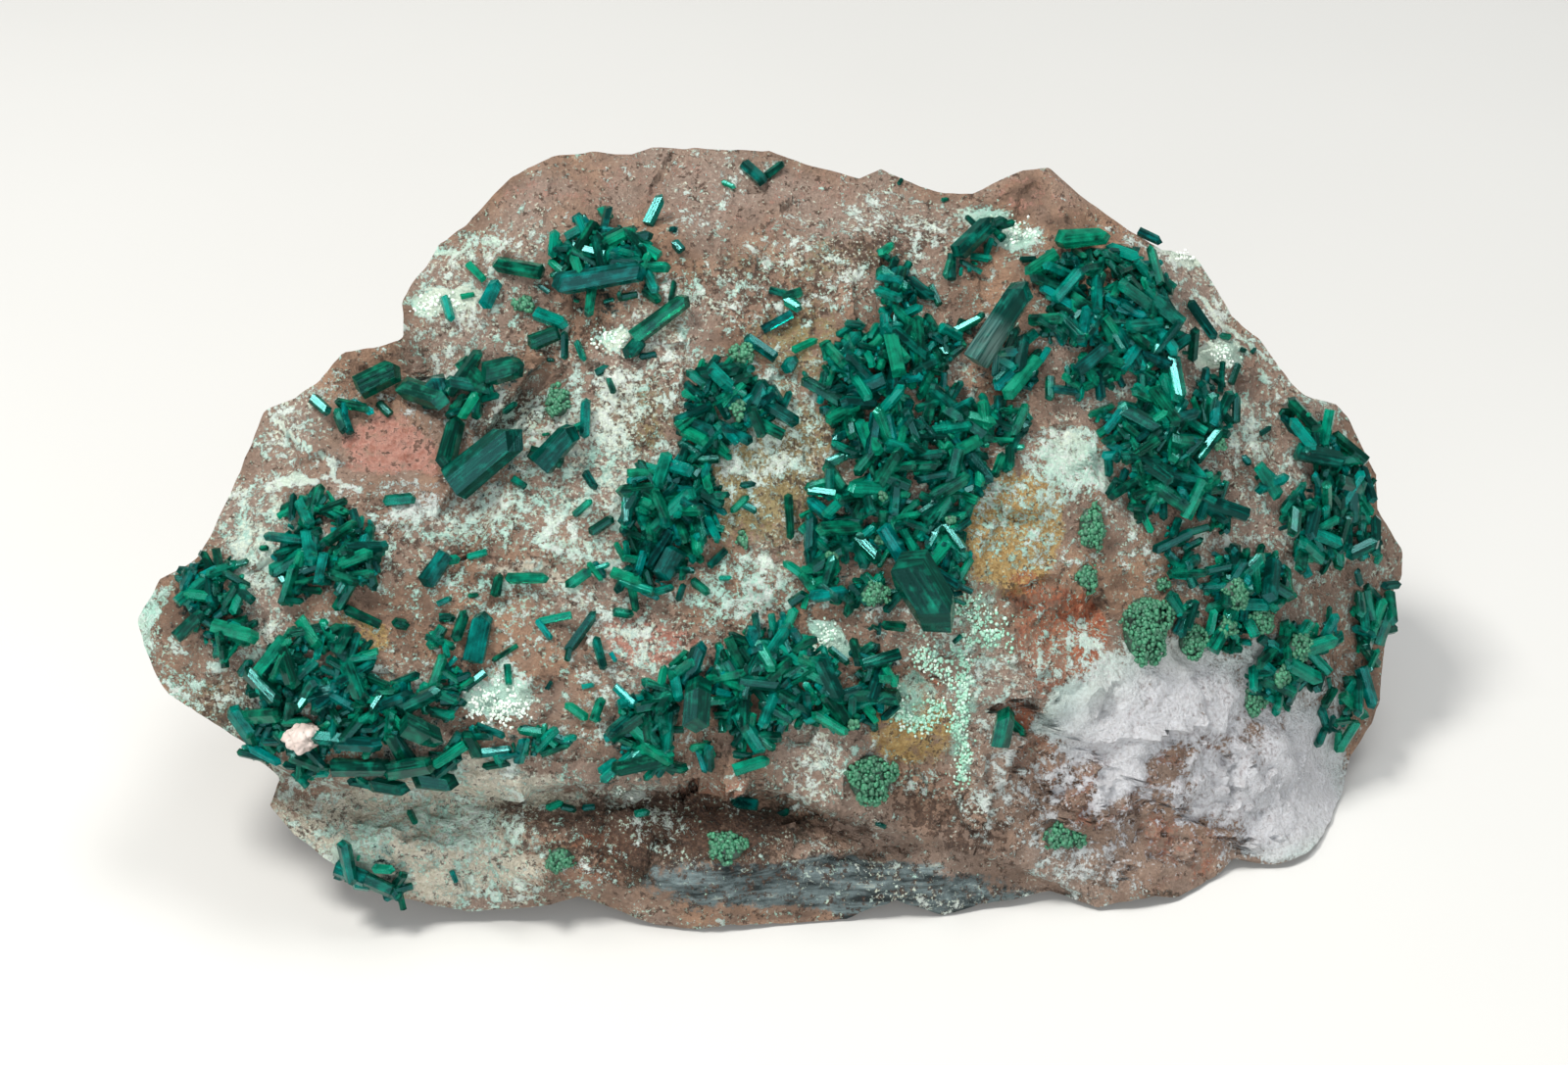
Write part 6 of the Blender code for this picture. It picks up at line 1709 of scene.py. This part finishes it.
class StageSettings(bpy.types.PropertyGroup):
    """The floor's colour and the lights' power."""

    floor_colour: bpy.props.FloatVectorProperty(
        name="Floor", description="Colour of the floor", default=linear("C8C7C3"), **COLOUR,
    )
    key_power: bpy.props.FloatProperty(
        name="Key light", description="Power of the main light", default=4.3, min=0, unit="POWER",
    )
    sky_strength: bpy.props.FloatProperty(
        name="Sky", description="Strength of the even light all round", default=0.42, min=0,
    )


class SPECIMEN_OT_rock(bpy.types.Operator):
    """Builds the block of rock"""

    bl_idname = "specimen.rock"
    bl_label = "Rock"

    def execute(self, context):
        make_rock(context.scene.specimen_rock)
        return {"FINISHED"}


class SPECIMEN_OT_crusts(bpy.types.Operator):
    """Builds the clusters of dioptase prisms"""

    bl_idname = "specimen.crusts"
    bl_label = "Dioptase clusters"

    def execute(self, context):
        make_crusts(context.scene.specimen_crystals)
        return {"FINISHED"}


class SPECIMEN_OT_lone_prisms(bpy.types.Operator):
    """Builds the dioptase prisms that stand alone"""

    bl_idname = "specimen.lone_prisms"
    bl_label = "Lone prisms"

    def execute(self, context):
        make_lone_prisms()
        return {"FINISHED"}


class SPECIMEN_OT_malachite(bpy.types.Operator):
    """Builds the malachite mounds"""

    bl_idname = "specimen.malachite"
    bl_label = "Malachite"

    def execute(self, context):
        make_malachite(context.scene.specimen_malachite)
        return {"FINISHED"}


class SPECIMEN_OT_pale_crusts(bpy.types.Operator):
    """Builds the pale crusts and the pebble"""

    bl_idname = "specimen.pale_crusts"
    bl_label = "Pale crusts"

    def execute(self, context):
        make_pale_crusts()
        return {"FINISHED"}


class SPECIMEN_OT_stage(bpy.types.Operator):
    """Builds the floor, the lights and the camera"""

    bl_idname = "specimen.stage"
    bl_label = "Stage"

    def execute(self, context):
        make_stage(context.scene.specimen_stage)
        return {"FINISHED"}


OPERATORS = (
    SPECIMEN_OT_rock, SPECIMEN_OT_crusts, SPECIMEN_OT_lone_prisms, SPECIMEN_OT_malachite,
    SPECIMEN_OT_pale_crusts, SPECIMEN_OT_stage,
)


class SPECIMEN_PT_panel(bpy.types.Panel):
    """Lists the specimen's operators"""

    bl_idname = "SPECIMEN_PT_panel"
    bl_label = "Dioptase specimen"
    bl_space_type = "VIEW_3D"
    bl_region_type = "UI"
    bl_category = "Dioptase"

    def draw(self, context):
        for operator in OPERATORS:
            self.layout.operator(operator.bl_idname)


SETTINGS = {
    "specimen_rock": RockSettings,
    "specimen_crystals": CrystalSettings,
    "specimen_malachite": MalachiteSettings,
    "specimen_stage": StageSettings,
}


def register():
    """Registers the settings, the operators and the panel."""
    for name, group in SETTINGS.items():
        bpy.utils.register_class(group)
        setattr(bpy.types.Scene, name, bpy.props.PointerProperty(type=group))
    for kind in (*OPERATORS, SPECIMEN_PT_panel):
        bpy.utils.register_class(kind)


def unregister():
    """Takes the panel, the operators and the settings away again."""
    for kind in (SPECIMEN_PT_panel, *reversed(OPERATORS)):
        bpy.utils.unregister_class(kind)
    for name, group in SETTINGS.items():
        delattr(bpy.types.Scene, name)
        bpy.utils.unregister_class(group)


def main():
    """Builds everything in order."""
    register()
    bpy.ops.specimen.rock()
    bpy.ops.specimen.crusts()
    bpy.ops.specimen.lone_prisms()
    bpy.ops.specimen.malachite()
    bpy.ops.specimen.pale_crusts()
    bpy.ops.specimen.stage()


if __name__ == "__main__":
    main()
